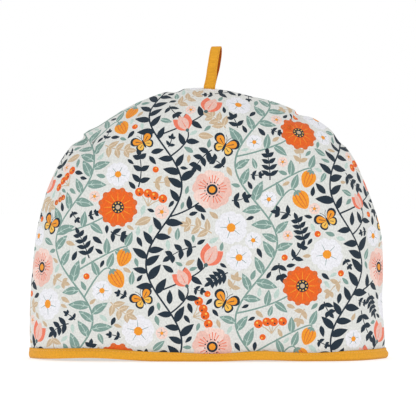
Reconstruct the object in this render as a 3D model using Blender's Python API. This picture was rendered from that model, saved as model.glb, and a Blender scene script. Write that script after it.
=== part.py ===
"""A padded tea cosy that stands open on its hem, as over a teapot.

Two domed panels of padded cotton meet in a seam that runs up one side, over the crest and down the
other. A cotton binding is folded round the lower edge, and a strip folded into a hanging loop stands
on the crest. Each of these is one solid.

Lengths are in metres, +Z is up and the front faces -Y. The origin lies on the surface that the cosy
stands on, under the middle of the hem. The seam lies in the plane y = 0.
"""

import math
from typing import NamedTuple

import bmesh
import bpy
from mathutils import Vector

FRONT, BACK = -1, 1

# Overall form of the stuffed cosy
ARCH_HEIGHT = 0.110  # below this the sides stand upright, and above it the dome fans out
HEM_HALF_DEPTH = 0.042  # front to seam plane at the hem, just inside the turn at the side
BODY_HALF_DEPTH = 0.045  # the same where the cosy is fullest
CREST_HALF_DEPTH = 0.035  # the same just below the turn at the crest
CROWN = 0.008  # how far the middle of a panel swells past the body
SIDE_TURN = 0.058  # width of the stretch in which a panel turns back to the side seam
CREST_TURN = 0.054  # the same below the crest
TURN_POWER = 2.5  # how soon the turn straightens

# Padded cloth
PANEL_THICKNESS = 0.0050
HEM_THICKNESS = 0.0034  # pressed flat by the binding's stitches
PRESSED_HEIGHT = 0.026  # the padding is full again this far up
SEAM_GAP = 0.0003  # between pieces that lie face to face

# Binding folded round the hem
BINDING_HEIGHT = 0.0100
BINDING_THICKNESS = 0.0012
BINDING_EDGE = 0.0006  # the soft corners under it
PANEL_FOOT = BINDING_THICKNESS + SEAM_GAP

# Hanging loop
LOOP_THICKNESS = 0.0012
LOOP_HEIGHT = 0.0396  # above the crest
LOOP_X = 0.0013  # where it is sewn in, from the middle
LOOP_LEAN = 0.0069  # how far its top hangs over to the right
LOOP_TWIST = math.radians(-13)  # its feet lie along the seam, and it turns this far on the way up
LOOP_SEAT_GAP = 0.0004

# Mesh density
SIDE_ROWS = 8  # above the binding
FAN_ROWS = 48
STATIONS = 20  # from the seam to the middle, the same in a panel and in the binding
STATION_POWER = 1.4  # above 1 the stations crowd towards the seam
SHARES = tuple(i / STATIONS for i in range(STATIONS + 1))


class SeamPoint(NamedTuple):
    """A place on the seam line, seen from the front."""

    x: float
    z: float


# From the left end of the hem, up the side, over the crest and down to the right end
SEAM_LINE = (
    SeamPoint(x=-0.1735, z=0.0000),
    SeamPoint(x=-0.1735, z=0.0550),
    SeamPoint(x=-0.1684, z=0.1110),
    SeamPoint(x=-0.1540, z=0.1690),
    SeamPoint(x=-0.1357, z=0.2035),
    SeamPoint(x=-0.1050, z=0.2275),
    SeamPoint(x=-0.0646, z=0.2508),
    SeamPoint(x=-0.0120, z=0.2631),
    SeamPoint(x=0.0400, z=0.2560),
    SeamPoint(x=0.0640, z=0.2508),
    SeamPoint(x=0.0860, z=0.2418),
    SeamPoint(x=0.1155, z=0.2270),
    SeamPoint(x=0.1376, z=0.2036),
    SeamPoint(x=0.1578, z=0.1577),
    SeamPoint(x=0.1690, z=0.1200),
    SeamPoint(x=0.1714, z=0.0865),
    SeamPoint(x=0.1700, z=0.0550),
    SeamPoint(x=0.1722, z=0.0180),
    SeamPoint(x=0.1733, z=0.0000),
)


class Pucker(NamedTuple):
    """A short dip where the seam draws the padded cloth in."""

    x: float
    z: float
    depth: float
    half_width: float


PUCKERS = (
    Pucker(x=-0.129, z=0.211, depth=0.0016, half_width=0.014),
    Pucker(x=-0.043, z=0.258, depth=0.0016, half_width=0.012),
    Pucker(x=0.091, z=0.238, depth=0.0030, half_width=0.013),
    Pucker(x=0.124, z=0.217, depth=0.0020, half_width=0.010),
    Pucker(x=0.150, z=0.178, depth=0.0012, half_width=0.014),
)


class HemLift(NamedTuple):
    """A stretch of the front hem that doesn't quite reach the surface."""

    x: float
    half_width: float
    height: float


HEM_LIFT = HemLift(x=-0.114, half_width=0.068, height=0.0030)
LIFT_FADES_AT = 0.060  # height at which the cloth no longer follows the lift


class LoopRow(NamedTuple):
    """A section of the loop: half the space between its legs, and the strip's width."""

    height: float
    half_gap: float
    width: float


LOOP_ROWS = (
    LoopRow(height=0.000, half_gap=0.00080, width=0.0113),
    LoopRow(height=0.120, half_gap=0.00170, width=0.0110),
    LoopRow(height=0.280, half_gap=0.00320, width=0.0104),
    LoopRow(height=0.450, half_gap=0.00400, width=0.0102),
    LoopRow(height=0.620, half_gap=0.00420, width=0.0101),
    LoopRow(height=0.800, half_gap=0.00385, width=0.0100),
    LoopRow(height=0.930, half_gap=0.00260, width=0.0099),
    LoopRow(height=1.000, half_gap=0.00000, width=0.0098),
)


class Cloth(NamedTuple):
    """What a cloth looks like."""

    colour: tuple
    roughness: float


PRINTED_COTTON = Cloth(colour=(0.75, 0.74, 0.71, 1.0), roughness=0.9)
BINDING_COTTON = Cloth(colour=(0.80, 0.37, 0.03, 1.0), roughness=0.85)


def clear_scene():
    """Removes whatever the scene holds."""
    for obj in list(bpy.data.objects):
        bpy.data.objects.remove(obj)


def eased(share):
    """Smooth step from 0 to 1."""
    share = min(max(share, 0.0), 1.0)
    return share * share * (3 - 2 * share)


def bump(distance, half_width):
    """1 at the middle, falling smoothly to 0 at half_width."""
    if abs(distance) >= half_width:
        return 0.0
    return 0.5 + 0.5 * math.cos(math.pi * distance / half_width)


def interpolated(at, places, values):
    """Smooth curve through values at rising places, with slopes from the neighbours."""
    last = len(places) - 1
    k = next((i for i in range(last) if at <= places[i + 1]), last - 1)

    def slope(i):
        a, b = max(i - 1, 0), min(i + 1, last)
        return (values[b] - values[a]) / (places[b] - places[a])

    span = places[k + 1] - places[k]
    s = (at - places[k]) / span
    return (
        (2 * s**3 - 3 * s**2 + 1) * values[k]
        + (s**3 - 2 * s**2 + s) * span * slope(k)
        + (3 * s**2 - 2 * s**3) * values[k + 1]
        + (s**3 - s**2) * span * slope(k + 1)
    )


# The arch coordinate runs from the left end of the hem to the right end: up the left side by
# height, round the fan by angle times this radius, and down the right side.
FAN_RADIUS = 0.169
FAN_LENGTH = math.pi * FAN_RADIUS
ARCH_LENGTH = 2 * ARCH_HEIGHT + FAN_LENGTH


def ray(arch):
    """(start x, start z, direction x, direction z) of the line from a panel's middle to its seam."""
    if arch <= ARCH_HEIGHT:
        return 0.0, arch, -1.0, 0.0
    if arch >= ARCH_HEIGHT + FAN_LENGTH:
        return 0.0, ARCH_LENGTH - arch, 1.0, 0.0
    angle = math.pi - (arch - ARCH_HEIGHT) / FAN_RADIUS
    return 0.0, ARCH_HEIGHT, math.cos(angle), math.sin(angle)


def arch_and_reach(point):
    """Where on the arch a point of the seam line lies, and how far from the middle it is."""
    if point.z < ARCH_HEIGHT:
        arch = point.z if point.x < 0 else ARCH_LENGTH - point.z
        return arch, abs(point.x)
    up = point.z - ARCH_HEIGHT
    angle = math.atan2(up, point.x)
    return ARCH_HEIGHT + (math.pi - angle) * FAN_RADIUS, math.hypot(point.x, up)


SEAM_PLACES, SEAM_REACHES = zip(*(arch_and_reach(point) for point in SEAM_LINE))


def reach_of(arch):
    """Distance from the middle of a panel to the seam line along a ray, puckers included."""
    dip = 0.0
    for pucker in PUCKERS:
        place, _ = arch_and_reach(pucker)
        dip += pucker.depth * bump(arch - place, pucker.half_width)
    return interpolated(arch, SEAM_PLACES, SEAM_REACHES) - dip


def full_depth(z):
    """Distance from the seam plane to the panel's face just inside the turn at the side."""
    return HEM_HALF_DEPTH + (BODY_HALF_DEPTH - HEM_HALF_DEPTH) * eased(z / ARCH_HEIGHT)


def turn_of(level, along_z):
    """(depth, width) of the turn at the seam end of a ray."""
    depth = full_depth(level) + (CREST_HALF_DEPTH - BODY_HALF_DEPTH) * along_z**2
    width = SIDE_TURN + (CREST_TURN - SIDE_TURN) * along_z**2
    return depth, width


def thickness(z):
    """The padded cloth's thickness at a height."""
    return HEM_THICKNESS + (PANEL_THICKNESS - HEM_THICKNESS) * eased(z / PRESSED_HEIGHT)


def lift(x, z, side):
    """How far the cloth is raised above its level place."""
    if side != FRONT:
        return 0.0
    fade = 1 - eased(z / LIFT_FADES_AT)
    return HEM_LIFT.height * bump(x - HEM_LIFT.x, HEM_LIFT.half_width) * fade


def point_on(arch, share, inset, side):
    """A point of the cosy's outer form, or of one that lies inset inside it.

    share runs from 0 at the seam to 1 at the middle of the panel. A negative inset lies outside.
    """
    start_x, level, along_x, along_z = ray(arch)
    depth, turn = turn_of(level, along_z)
    edge_slope = TURN_POWER * depth / turn
    reach = reach_of(arch) - inset * math.hypot(1, edge_slope) / edge_slope
    inner_turn = turn * (depth - inset) / depth
    from_seam = reach * share**STATION_POWER
    rise = 1 - max(1 - from_seam / inner_turn, 0.0) ** TURN_POWER
    swell = (full_depth(level) + CROWN - depth) * (1 - (1 - from_seam / reach) ** 2) ** 1.5
    out = reach - from_seam
    x = start_x + out * along_x
    height = level + out * along_z
    away = SEAM_GAP / 2 + (depth - inset) * rise + swell
    return Vector((x, side * away, height + lift(x, height, side)))


def arch_rows():
    """Arch places of the rays of a panel, from one end of the hem to the other."""
    above = ARCH_HEIGHT - BINDING_HEIGHT
    sides = [PANEL_FOOT, BINDING_HEIGHT / 2]
    sides += [BINDING_HEIGHT + above * i / SIDE_ROWS for i in range(SIDE_ROWS)]
    fan = [ARCH_HEIGHT + FAN_LENGTH * i / FAN_ROWS for i in range(FAN_ROWS + 1)]
    return sides + fan + [ARCH_LENGTH - place for place in reversed(sides)]


def material_of(name, cloth):
    """A material with the cloth's colour and roughness."""
    material = bpy.data.materials.new(name)
    material.use_nodes = True
    shader = material.node_tree.nodes["Principled BSDF"]
    shader.inputs["Base Color"].default_value = cloth.colour
    shader.inputs["Roughness"].default_value = cloth.roughness
    shader.inputs["Metallic"].default_value = 0.0
    return material


def add_object(name, mesh_data, material):
    """Puts a finished bmesh into the scene as one smooth object."""
    bmesh.ops.remove_doubles(mesh_data, verts=mesh_data.verts, dist=1e-6)
    bmesh.ops.recalc_face_normals(mesh_data, faces=mesh_data.faces)
    bmesh.ops.triangulate(mesh_data, faces=mesh_data.faces)
    mesh = bpy.data.meshes.new(name)
    mesh_data.to_mesh(mesh)
    mesh_data.free()
    mesh.materials.append(material)
    mesh.shade_smooth()
    mesh.set_sharp_from_angle(angle=math.radians(50))
    obj = bpy.data.objects.new(name, mesh)
    bpy.context.scene.collection.objects.link(obj)
    return obj


def strip_faces(mesh_data, first, second, closed=False):
    """Fills the strip between two equal rows of vertices."""
    count = len(first)
    for i in range(count if closed else count - 1):
        k = (i + 1) % count
        mesh_data.faces.new((first[i], first[k], second[k], second[i]))


def build_panel(name, side, material):
    """A padded panel: its printed face, its inner face, the seam edge and the lower edge."""
    mesh_data = bmesh.new()
    rows = arch_rows()
    faces = []
    for layer in (0, 1):
        grid = []
        for arch in rows:
            inset = layer * thickness(ray(arch)[1] + reach_of(arch) * ray(arch)[3])
            grid.append([mesh_data.verts.new(point_on(arch, s, inset, side)) for s in SHARES])
        faces.append(grid)
        for lower, upper in zip(grid, grid[1:]):
            strip_faces(mesh_data, lower, upper)
    outer, inner = faces
    strip_faces(mesh_data, [row[0] for row in outer], [row[0] for row in inner])
    for end in (0, -1):
        strip_faces(mesh_data, outer[end], inner[end])
    return add_object(name, mesh_data, material)


def binding_section():
    """(inset, height) of the folded strip's section, once round, from its outer foot."""
    out = -SEAM_GAP - BINDING_THICKNESS
    into = HEM_THICKNESS + SEAM_GAP + BINDING_THICKNESS
    return (
        (out + BINDING_EDGE, 0.0),
        (out, BINDING_EDGE),
        (out, BINDING_HEIGHT / 2),
        (out, BINDING_HEIGHT),
        (-SEAM_GAP, BINDING_HEIGHT),
        (-SEAM_GAP, BINDING_HEIGHT / 2),
        (-SEAM_GAP, BINDING_THICKNESS),
        (HEM_THICKNESS + SEAM_GAP, BINDING_THICKNESS),
        (HEM_THICKNESS + SEAM_GAP + inner_growth(BINDING_HEIGHT / 2), BINDING_HEIGHT / 2),
        (HEM_THICKNESS + SEAM_GAP + inner_growth(BINDING_HEIGHT), BINDING_HEIGHT),
        (into + inner_growth(BINDING_HEIGHT), BINDING_HEIGHT),
        (into + inner_growth(BINDING_HEIGHT / 2), BINDING_HEIGHT / 2),
        (into, BINDING_EDGE),
        (into - BINDING_EDGE, 0.0),
    )


def inner_growth(z):
    """How much the padding has filled out again at a height inside the binding."""
    return thickness(z) - HEM_THICKNESS


def build_binding(name, material):
    """The strip folded round the lower edge, once round the cosy."""
    mesh_data = bmesh.new()
    stops = [(0, FRONT, share) for share in SHARES]
    stops += [(1, FRONT, share) for share in reversed(SHARES[:-1])]
    stops += [(1, BACK, share) for share in SHARES[1:]]
    stops += [(0, BACK, share) for share in reversed(SHARES[:-1])][:-1]
    rings = []
    for inset, z in binding_section():
        ring = []
        for end, side, share in stops:
            arch = ARCH_LENGTH - z if end else z
            point = point_on(arch, share, inset, side)
            if share == 0:
                point.y = 0.0
            ring.append(mesh_data.verts.new(point))
        rings.append(ring)
    for first, second in zip(rings, rings[1:] + rings[:1]):
        strip_faces(mesh_data, first, second, closed=True)
    return add_object(name, mesh_data, material)


def crest_height(x, y):
    """Height of the cosy's outer face near the crest."""
    arch = next(
        place
        for place in (ARCH_HEIGHT + FAN_LENGTH * i / 2000 for i in range(2001))
        if ray(place)[2] * reach_of(place) >= x
    )
    top = ARCH_HEIGHT + reach_of(arch) * ray(arch)[3]
    away = max(abs(y) - SEAM_GAP / 2, 0.0) / CREST_HALF_DEPTH
    return top - CREST_TURN * (1 - (1 - away) ** (1 / TURN_POWER))


def loop_line():
    """The middle of the folded strip as (y, height, width), from the front foot over to the back foot."""
    heights = [row.height for row in LOOP_ROWS]
    gaps = [row.half_gap for row in LOOP_ROWS]
    widths = [row.width for row in LOOP_ROWS]
    shares = [0.0, 0.06, 0.14, 0.22, 0.31, 0.41, 0.51, 0.61, 0.71, 0.80, 0.87, 0.93, 0.97, 0.99]
    leg = []
    for share in shares:
        gap = interpolated(share, heights, gaps)
        width = interpolated(share, heights, widths)
        leg.append((gap, LOOP_HEIGHT * share, width))
    front = [(-gap, z, width) for gap, z, width in leg]
    back = list(reversed(leg))
    return front + [(0.0, LOOP_HEIGHT, widths[-1])] + back


def loop_point(y, z, across):
    """A point of the loop, leaned over and twisted by its height above the crest."""
    share = z / LOOP_HEIGHT
    lean = LOOP_LEAN * share * (1.3 - 0.3 * share)
    yaw = LOOP_TWIST * eased(share * 2)
    x = LOOP_X + lean + across * math.cos(yaw) - y * math.sin(yaw)
    return Vector((x, across * math.sin(yaw) + y * math.cos(yaw), z))


def build_loop(name, material):
    """The hanging loop: a strip folded over, with both feet on the crest seam."""
    mesh_data = bmesh.new()
    line = loop_line()
    base = crest_height(LOOP_X, 0.0) + LOOP_SEAT_GAP
    sections = []
    for i, (y, z, width) in enumerate(line):
        before, after = line[max(i - 1, 0)], line[min(i + 1, len(line) - 1)]
        along = Vector((after[0] - before[0], after[1] - before[1])).normalized()
        normal = Vector((-along.y, along.x)) * LOOP_THICKNESS / 2
        section = []
        for edge, face in ((-1, 1), (1, 1), (1, -1), (-1, -1)):
            point = loop_point(y + face * normal.x, z + face * normal.y, edge * width / 2)
            point.z += base
            if i in (0, len(line) - 1):
                point.z = crest_height(point.x, point.y) + LOOP_SEAT_GAP
            section.append(mesh_data.verts.new(point))
        sections.append(section)
    for first, second in zip(sections, sections[1:]):
        strip_faces(mesh_data, first, second, closed=True)
    mesh_data.faces.new(sections[0])
    mesh_data.faces.new(sections[-1])
    return add_object(name, mesh_data, material)


def main():
    clear_scene()
    printed = material_of("printed_cotton", PRINTED_COTTON)
    plain = material_of("binding_cotton", BINDING_COTTON)
    build_panel("front_panel", FRONT, printed)
    build_panel("back_panel", BACK, printed)
    build_binding("hem_binding", plain)
    build_loop("hanging_loop", plain)


main()
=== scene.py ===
"""Looks of a padded tea cosy: a printed front and back, a bound hem and a hanging loop.

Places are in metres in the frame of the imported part: +Z is up, the front faces -Y and the seam
lies in the plane y = 0. The print is drawn in millimetres on the flat cloth, where u runs to the
right from the middle of a panel, as its viewer sees it, and v runs up from the hem.
"""

import logging
import math
from collections.abc import Callable, Iterable
from dataclasses import dataclass, field, replace
from enum import Enum
from functools import cached_property

import bpy
import numpy as np
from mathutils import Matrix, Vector
from mathutils.geometry import delaunay_2d_cdt


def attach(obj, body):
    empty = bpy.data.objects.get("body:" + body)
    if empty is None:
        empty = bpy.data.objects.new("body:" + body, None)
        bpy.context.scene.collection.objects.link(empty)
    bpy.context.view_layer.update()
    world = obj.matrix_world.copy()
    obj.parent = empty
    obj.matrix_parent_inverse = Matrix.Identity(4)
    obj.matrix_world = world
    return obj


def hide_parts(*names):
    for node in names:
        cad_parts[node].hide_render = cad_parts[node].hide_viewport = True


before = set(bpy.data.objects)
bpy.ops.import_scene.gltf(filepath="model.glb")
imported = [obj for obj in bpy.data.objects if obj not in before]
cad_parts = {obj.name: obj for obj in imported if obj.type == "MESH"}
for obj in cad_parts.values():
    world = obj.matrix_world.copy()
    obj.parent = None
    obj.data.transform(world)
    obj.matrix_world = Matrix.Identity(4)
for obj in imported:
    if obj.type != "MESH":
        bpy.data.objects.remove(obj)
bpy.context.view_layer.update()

BODY = "root"
MM = 0.001
LOG = logging.getLogger("tea_cosy")

Array = np.ndarray
Socket = bpy.types.NodeSocket


class Side(Enum):
    """Which of the two panels, by the sign of y."""

    FRONT = -1
    BACK = 1


class Slot(Enum):
    """The record's material slots."""

    PRINTED = "printed_cotton"
    BINDING = "binding_cotton"


class Ink(Enum):
    """A colour of the print or of plain cloth, as red, green and blue from 0 to 255."""

    GROUND = (220, 221, 217)
    NAVY = (34, 48, 60)
    SLATE = (78, 104, 106)
    SAGE = (126, 155, 147)
    MINT = (188, 208, 200)
    TAN = (200, 176, 146)
    SAND = (222, 206, 182)
    ORANGE = (230, 100, 34)
    AMBER = (238, 152, 46)
    GOLD = (242, 188, 84)
    PINK = (233, 190, 178)
    BLUSH = (239, 209, 199)
    BERRY = (212, 106, 54)
    CORAL = (235, 124, 98)
    LILAC = (232, 232, 237)
    LINING = (214, 212, 203)
    HONEY = (226, 160, 42)
    # painted shade for the hanging loop's inner face
    LOOP_PAINTED_SHADE = (176, 84, 10)

    def linear(self) -> tuple[float, float, float, float]:
        """The colour as linear light, with full alpha."""
        return (*srgb_to_linear(self.value), 1.0)


def srgb_to_linear(colour: tuple[int, int, int]) -> tuple[float, float, float]:
    """Turns a screen colour, from 0 to 255, into linear light, from 0 to 1."""
    shares = (c / 255 for c in colour)
    return tuple(s / 12.92 if s <= 0.04045 else ((s + 0.055) / 1.055) ** 2.4 for s in shares)


def eased(share: Array | float) -> Array | float:
    """Smooth step from 0 to 1."""
    share = np.clip(share, 0.0, 1.0)
    return share * share * (3 - 2 * share)


def bump(distance: Array | float, half_width: float) -> Array | float:
    """1 at the middle, falling smoothly to 0 at half_width."""
    near = np.clip(np.abs(distance) / half_width, 0.0, 1.0)
    return 0.5 + 0.5 * np.cos(np.pi * near)


class SmoothLine:
    """A smooth curve through values at rising places."""

    def __init__(self, places: Iterable[float], values: Iterable[float]) -> None:
        """Works out the slope at each place from its neighbours.

        Args:
            places: where the values are, in rising order.
            values: the values there.
        """
        self.places = np.array(list(places), float)
        self.values = np.array(list(values), float)
        before = np.maximum(np.arange(len(self.places)) - 1, 0)
        after = np.minimum(np.arange(len(self.places)) + 1, len(self.places) - 1)
        rise = self.values[after] - self.values[before]
        self.slopes = rise / (self.places[after] - self.places[before])

    def __call__(self, at: Array | float) -> Array:
        """Reads the curve.

        Args:
            at: the places to read it at.

        Returns:
            The values there.
        """
        at = np.clip(at, self.places[0], self.places[-1])
        k = np.clip(np.searchsorted(self.places, at) - 1, 0, len(self.places) - 2)
        span = self.places[k + 1] - self.places[k]
        s = (at - self.places[k]) / span
        return (
            (2 * s**3 - 3 * s**2 + 1) * self.values[k]
            + (s**3 - 2 * s**2 + s) * span * self.slopes[k]
            + (3 * s**2 - 2 * s**3) * self.values[k + 1]
            + (s**3 - s**2) * span * self.slopes[k + 1]
        )


@dataclass(frozen=True)
class SeamPoint:
    """A place on the seam line, seen from the front."""

    x: float
    z: float


# From the left end of the hem, up the side, over the crest and down to the right end
SEAM_LINE = (
    SeamPoint(x=-0.1746, z=0.0000),
    SeamPoint(x=-0.1744, z=0.0550),
    SeamPoint(x=-0.1699, z=0.1112),
    SeamPoint(x=-0.1645, z=0.1402),
    SeamPoint(x=-0.1556, z=0.1696),
    SeamPoint(x=-0.1367, z=0.2043),
    SeamPoint(x=-0.1188, z=0.2214),
    SeamPoint(x=-0.1054, z=0.2283),
    SeamPoint(x=-0.0650, z=0.2517),
    SeamPoint(x=-0.0450, z=0.2592),
    SeamPoint(x=-0.0120, z=0.2643),
    SeamPoint(x=0.0401, z=0.2566),
    SeamPoint(x=0.0640, z=0.2508),
    SeamPoint(x=0.0862, z=0.2422),
    SeamPoint(x=0.1155, z=0.2270),
    SeamPoint(x=0.1375, z=0.2035),
    SeamPoint(x=0.1589, z=0.1581),
    SeamPoint(x=0.1700, z=0.1201),
    SeamPoint(x=0.1717, z=0.0865),
    SeamPoint(x=0.1710, z=0.0550),
    SeamPoint(x=0.1737, z=0.0180),
    SeamPoint(x=0.1748, z=0.0000),
)


@dataclass(frozen=True)
class Pucker:
    """A place where the seam draws the padded cloth in.

    Its wall on the left, as the front's viewer sees it, can be steeper than the one on the right.
    """

    x: float
    z: float
    depth: float
    half_width: float
    left_width: float

    def dip(self, away: Array | float, spread: float = 1.0) -> Array | float:
        """How much of its depth is left at a distance to the right of its middle.

        Args:
            away: the distance, negative to the left.
            spread: factor on its widths.

        Returns:
            1 at its middle, falling to 0 at its ends.
        """
        width = np.where(np.asarray(away) < 0, self.left_width, self.half_width) * spread
        return bump(np.asarray(away) / width, 1.0)


PUCKERS = (
    Pucker(x=-0.1226, z=0.2146, depth=0.0030, half_width=0.0042, left_width=0.0140),
    Pucker(x=-0.031, z=0.261, depth=0.0022, half_width=0.010, left_width=0.012),
    Pucker(x=0.089, z=0.240, depth=0.0030, half_width=0.015, left_width=0.006),
    Pucker(x=0.129, z=0.212, depth=0.0020, half_width=0.011, left_width=0.015),
    Pucker(x=0.150, z=0.178, depth=0.0006, half_width=0.014, left_width=0.014),
)


@dataclass(frozen=True)
class Ripple:
    """A long shallow wave over a panel."""

    across: float
    up: float
    start: float
    height: float


RIPPLES = (
    Ripple(across=37.0, up=21.0, start=0.4, height=0.00050),
    Ripple(across=-24.0, up=52.0, start=2.1, height=0.00045),
    Ripple(across=71.0, up=-33.0, start=4.0, height=0.00030),
    Ripple(across=12.0, up=88.0, start=5.2, height=0.00028),
    Ripple(across=-96.0, up=61.0, start=1.3, height=0.00018),
)


@dataclass(frozen=True)
class Lift:
    """A place where the front of the hem stands off the surface."""

    x: float
    half_width: float
    height: float


LIFTS = (
    Lift(x=-0.114, half_width=0.068, height=0.0030),
    Lift(x=0.050, half_width=0.046, height=0.0011),
)


@dataclass(frozen=True)
class CosyForm:
    """The stuffed form that both panels and the binding follow."""

    arch_height: float = 0.110
    fan_radius: float = 0.169
    hem_half_depth: float = 0.042
    body_half_depth: float = 0.045
    crest_half_depth: float = 0.035
    crown: float = 0.008
    side_turn: float = 0.058
    crest_turn: float = 0.054
    turn_power: float = 2.5
    swell_power: float = 1.5
    seam_gap: float = 0.0003
    panel_thickness: float = 0.0050
    hem_thickness: float = 0.0034
    pressed_height: float = 0.026
    lift_fades_at: float = 0.060
    seam_draw: float = 0.0010  # how far the sewn edge turns in
    seam_draw_width: float = 0.0010

    @property
    def arch_length(self) -> float:
        """Length of the arch coordinate, from one end of the hem to the other."""
        return 2 * self.arch_height + math.pi * self.fan_radius

    @cached_property
    def seam_reach(self) -> SmoothLine:
        """Distance from the middle of a panel to the seam line, by arch place."""
        found = [self.arch_and_reach(p.x, p.z) for p in SEAM_LINE]
        return SmoothLine((a for a, _ in found), (r for _, r in found))

    def arch_and_reach(self, x: float, z: float) -> tuple[float, float]:
        """Where on the arch a point of the seam plane lies, and how far out it is.

        Args:
            x: its place across.
            z: its height.

        Returns:
            (arch place, distance from the middle of the panel).
        """
        if z < self.arch_height:
            return (z if x < 0 else self.arch_length - z), abs(x)
        up = z - self.arch_height
        angle = math.atan2(up, x)
        return self.arch_height + (math.pi - angle) * self.fan_radius, math.hypot(x, up)

    def ray(self, arch: Array) -> tuple[Array, Array, Array]:
        """The lines from the middle of a panel out to its seam.

        Args:
            arch: arch places.

        Returns:
            (start height, x direction, z direction) of each line.
        """
        angle = np.clip(math.pi - (arch - self.arch_height) / self.fan_radius, 0, math.pi)
        start = np.minimum(np.minimum(arch, self.arch_length - arch), self.arch_height)
        return start, np.cos(angle), np.sin(angle)

    def reach(self, arch: Array) -> Array:
        """Distance from the middle of a panel to its seam, puckers included.

        Args:
            arch: arch places.

        Returns:
            The distance at each.
        """
        dip = 0.0
        for pucker in PUCKERS:
            place, _ = self.arch_and_reach(pucker.x, pucker.z)
            dip = dip + pucker.depth * pucker.dip(arch - place)
        return self.seam_reach(arch) - dip

    def full_depth(self, z: Array) -> Array:
        """Distance from the seam plane to a panel just inside its turn at the side."""
        rise = self.body_half_depth - self.hem_half_depth
        return self.hem_half_depth + rise * eased(z / self.arch_height)

    def thickness(self, z: Array) -> Array:
        """The padded cloth's thickness at a height."""
        rise = self.panel_thickness - self.hem_thickness
        return self.hem_thickness + rise * eased(z / self.pressed_height)

    def point(self, arch: Array, share: Array, inset: Array, side: Side) -> Array:
        """Points of the form, or of one that lies inset inside it.

        Args:
            arch: arch places.
            share: 0 at the seam and 1 at the middle of the panel.
            inset: distance inside the form, negative outside it.
            side: the panel.

        Returns:
            The points, one a row.
        """
        level, along_x, along_z = self.ray(arch)
        crest = along_z**2
        depth = self.full_depth(level) + (self.crest_half_depth - self.body_half_depth) * crest
        turn = self.side_turn + (self.crest_turn - self.side_turn) * crest
        slope = self.turn_power * depth / turn
        reach = self.reach(arch) - inset * np.hypot(1, slope) / slope
        from_seam = reach * share
        inner_turn = turn * (depth - inset) / depth
        rise = 1 - np.maximum(1 - from_seam / inner_turn, 0.0) ** self.turn_power
        swell = self.full_depth(level) + self.crown - depth
        swell = swell * (1 - (1 - share) ** 2) ** self.swell_power
        drawn = self.seam_draw * np.exp(-from_seam / self.seam_draw_width)
        out = reach - from_seam - drawn
        x = out * along_x
        z = level + out * along_z
        away = self.seam_gap / 2 + (depth - inset) * rise + swell
        if side is Side.FRONT:
            fade = 1 - eased(z / self.lift_fades_at)
            z = z + fade * sum(lift.height * bump(x - lift.x, lift.half_width) for lift in LIFTS)
        return np.stack([x, side.value * away, z], axis=-1)


@dataclass(frozen=True)
class Relief:
    """Sizes of the small waves that sewing leaves in the padded cloth."""

    back_phase: float = 2.6  # keeps the back's waves unlike the front's
    ripple_from_seam: float = 0.03
    ripple_from_hem: float = 0.03
    ripple_foot: float = 0.008
    gather_pitch: float = 0.0125
    gather_drift: float = 1.7
    gather_drift_pitch: float = 0.083
    gather_change: float = 0.4
    gather_change_pitch: float = 0.051
    gather_height: float = 0.00018
    gather_reach: float = 0.010
    gather_start: float = 0.002
    pucker_height: float = 1.25
    pucker_lip: float = 0.30
    pucker_lip_width: float = 2.2
    pucker_reach: float = 0.021
    seam_margin: float = 0.006  # keeps puckers and dents out of the outline
    press_top: float = 0.009
    press_fade: float = 0.013
    press_depth: float = 0.0008  # how far the binding's stitches press the padding
    tuck_pitch: float = 0.0093
    tuck_drift: float = 1.4
    tuck_drift_pitch: float = 0.047
    tuck_height: float = 0.00016
    tuck_foot: float = 0.010
    tuck_reach: float = 0.006


RELIEF = Relief()


@dataclass(frozen=True)
class Dents:
    """Small heights on an even lattice over the flat cloth, read smoothly."""

    left: float
    low: float
    step: float
    heights: Array

    def at(self, u: Array, v: Array) -> Array:
        """Blends the sixteen lattice heights round each place.

        Args:
            u: places across the flat cloth, in metres.
            v: places up it.

        Returns:
            The heights there.
        """
        columns, across = self._blend((u - self.left) / self.step, self.heights.shape[1])
        rows, up = self._blend((v - self.low) / self.step, self.heights.shape[0])
        total = 0.0
        for row, row_share in zip(rows, up):
            for column, column_share in zip(columns, across):
                total = total + row_share * column_share * self.heights[row, column]
        return total

    def _blend(self, at: Array, count: int) -> tuple[list[Array], list[Array]]:
        """Finds the four lattice lines round each place, and how much each counts.

        Args:
            at: places along one way of the lattice, in steps.
            count: how many lines it has that way.

        Returns:
            (line numbers, shares), four of each.
        """
        first = np.floor(at).astype(int)
        f = at - first
        shares = [
            (1 - f) ** 3 / 6,
            (3 * f**3 - 6 * f**2 + 4) / 6,
            (-3 * f**3 + 3 * f**2 + 3 * f + 1) / 6,
            f**3 / 6,
        ]
        return [np.clip(first + k, 0, count - 1) for k in (-1, 0, 1, 2)], shares


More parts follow.
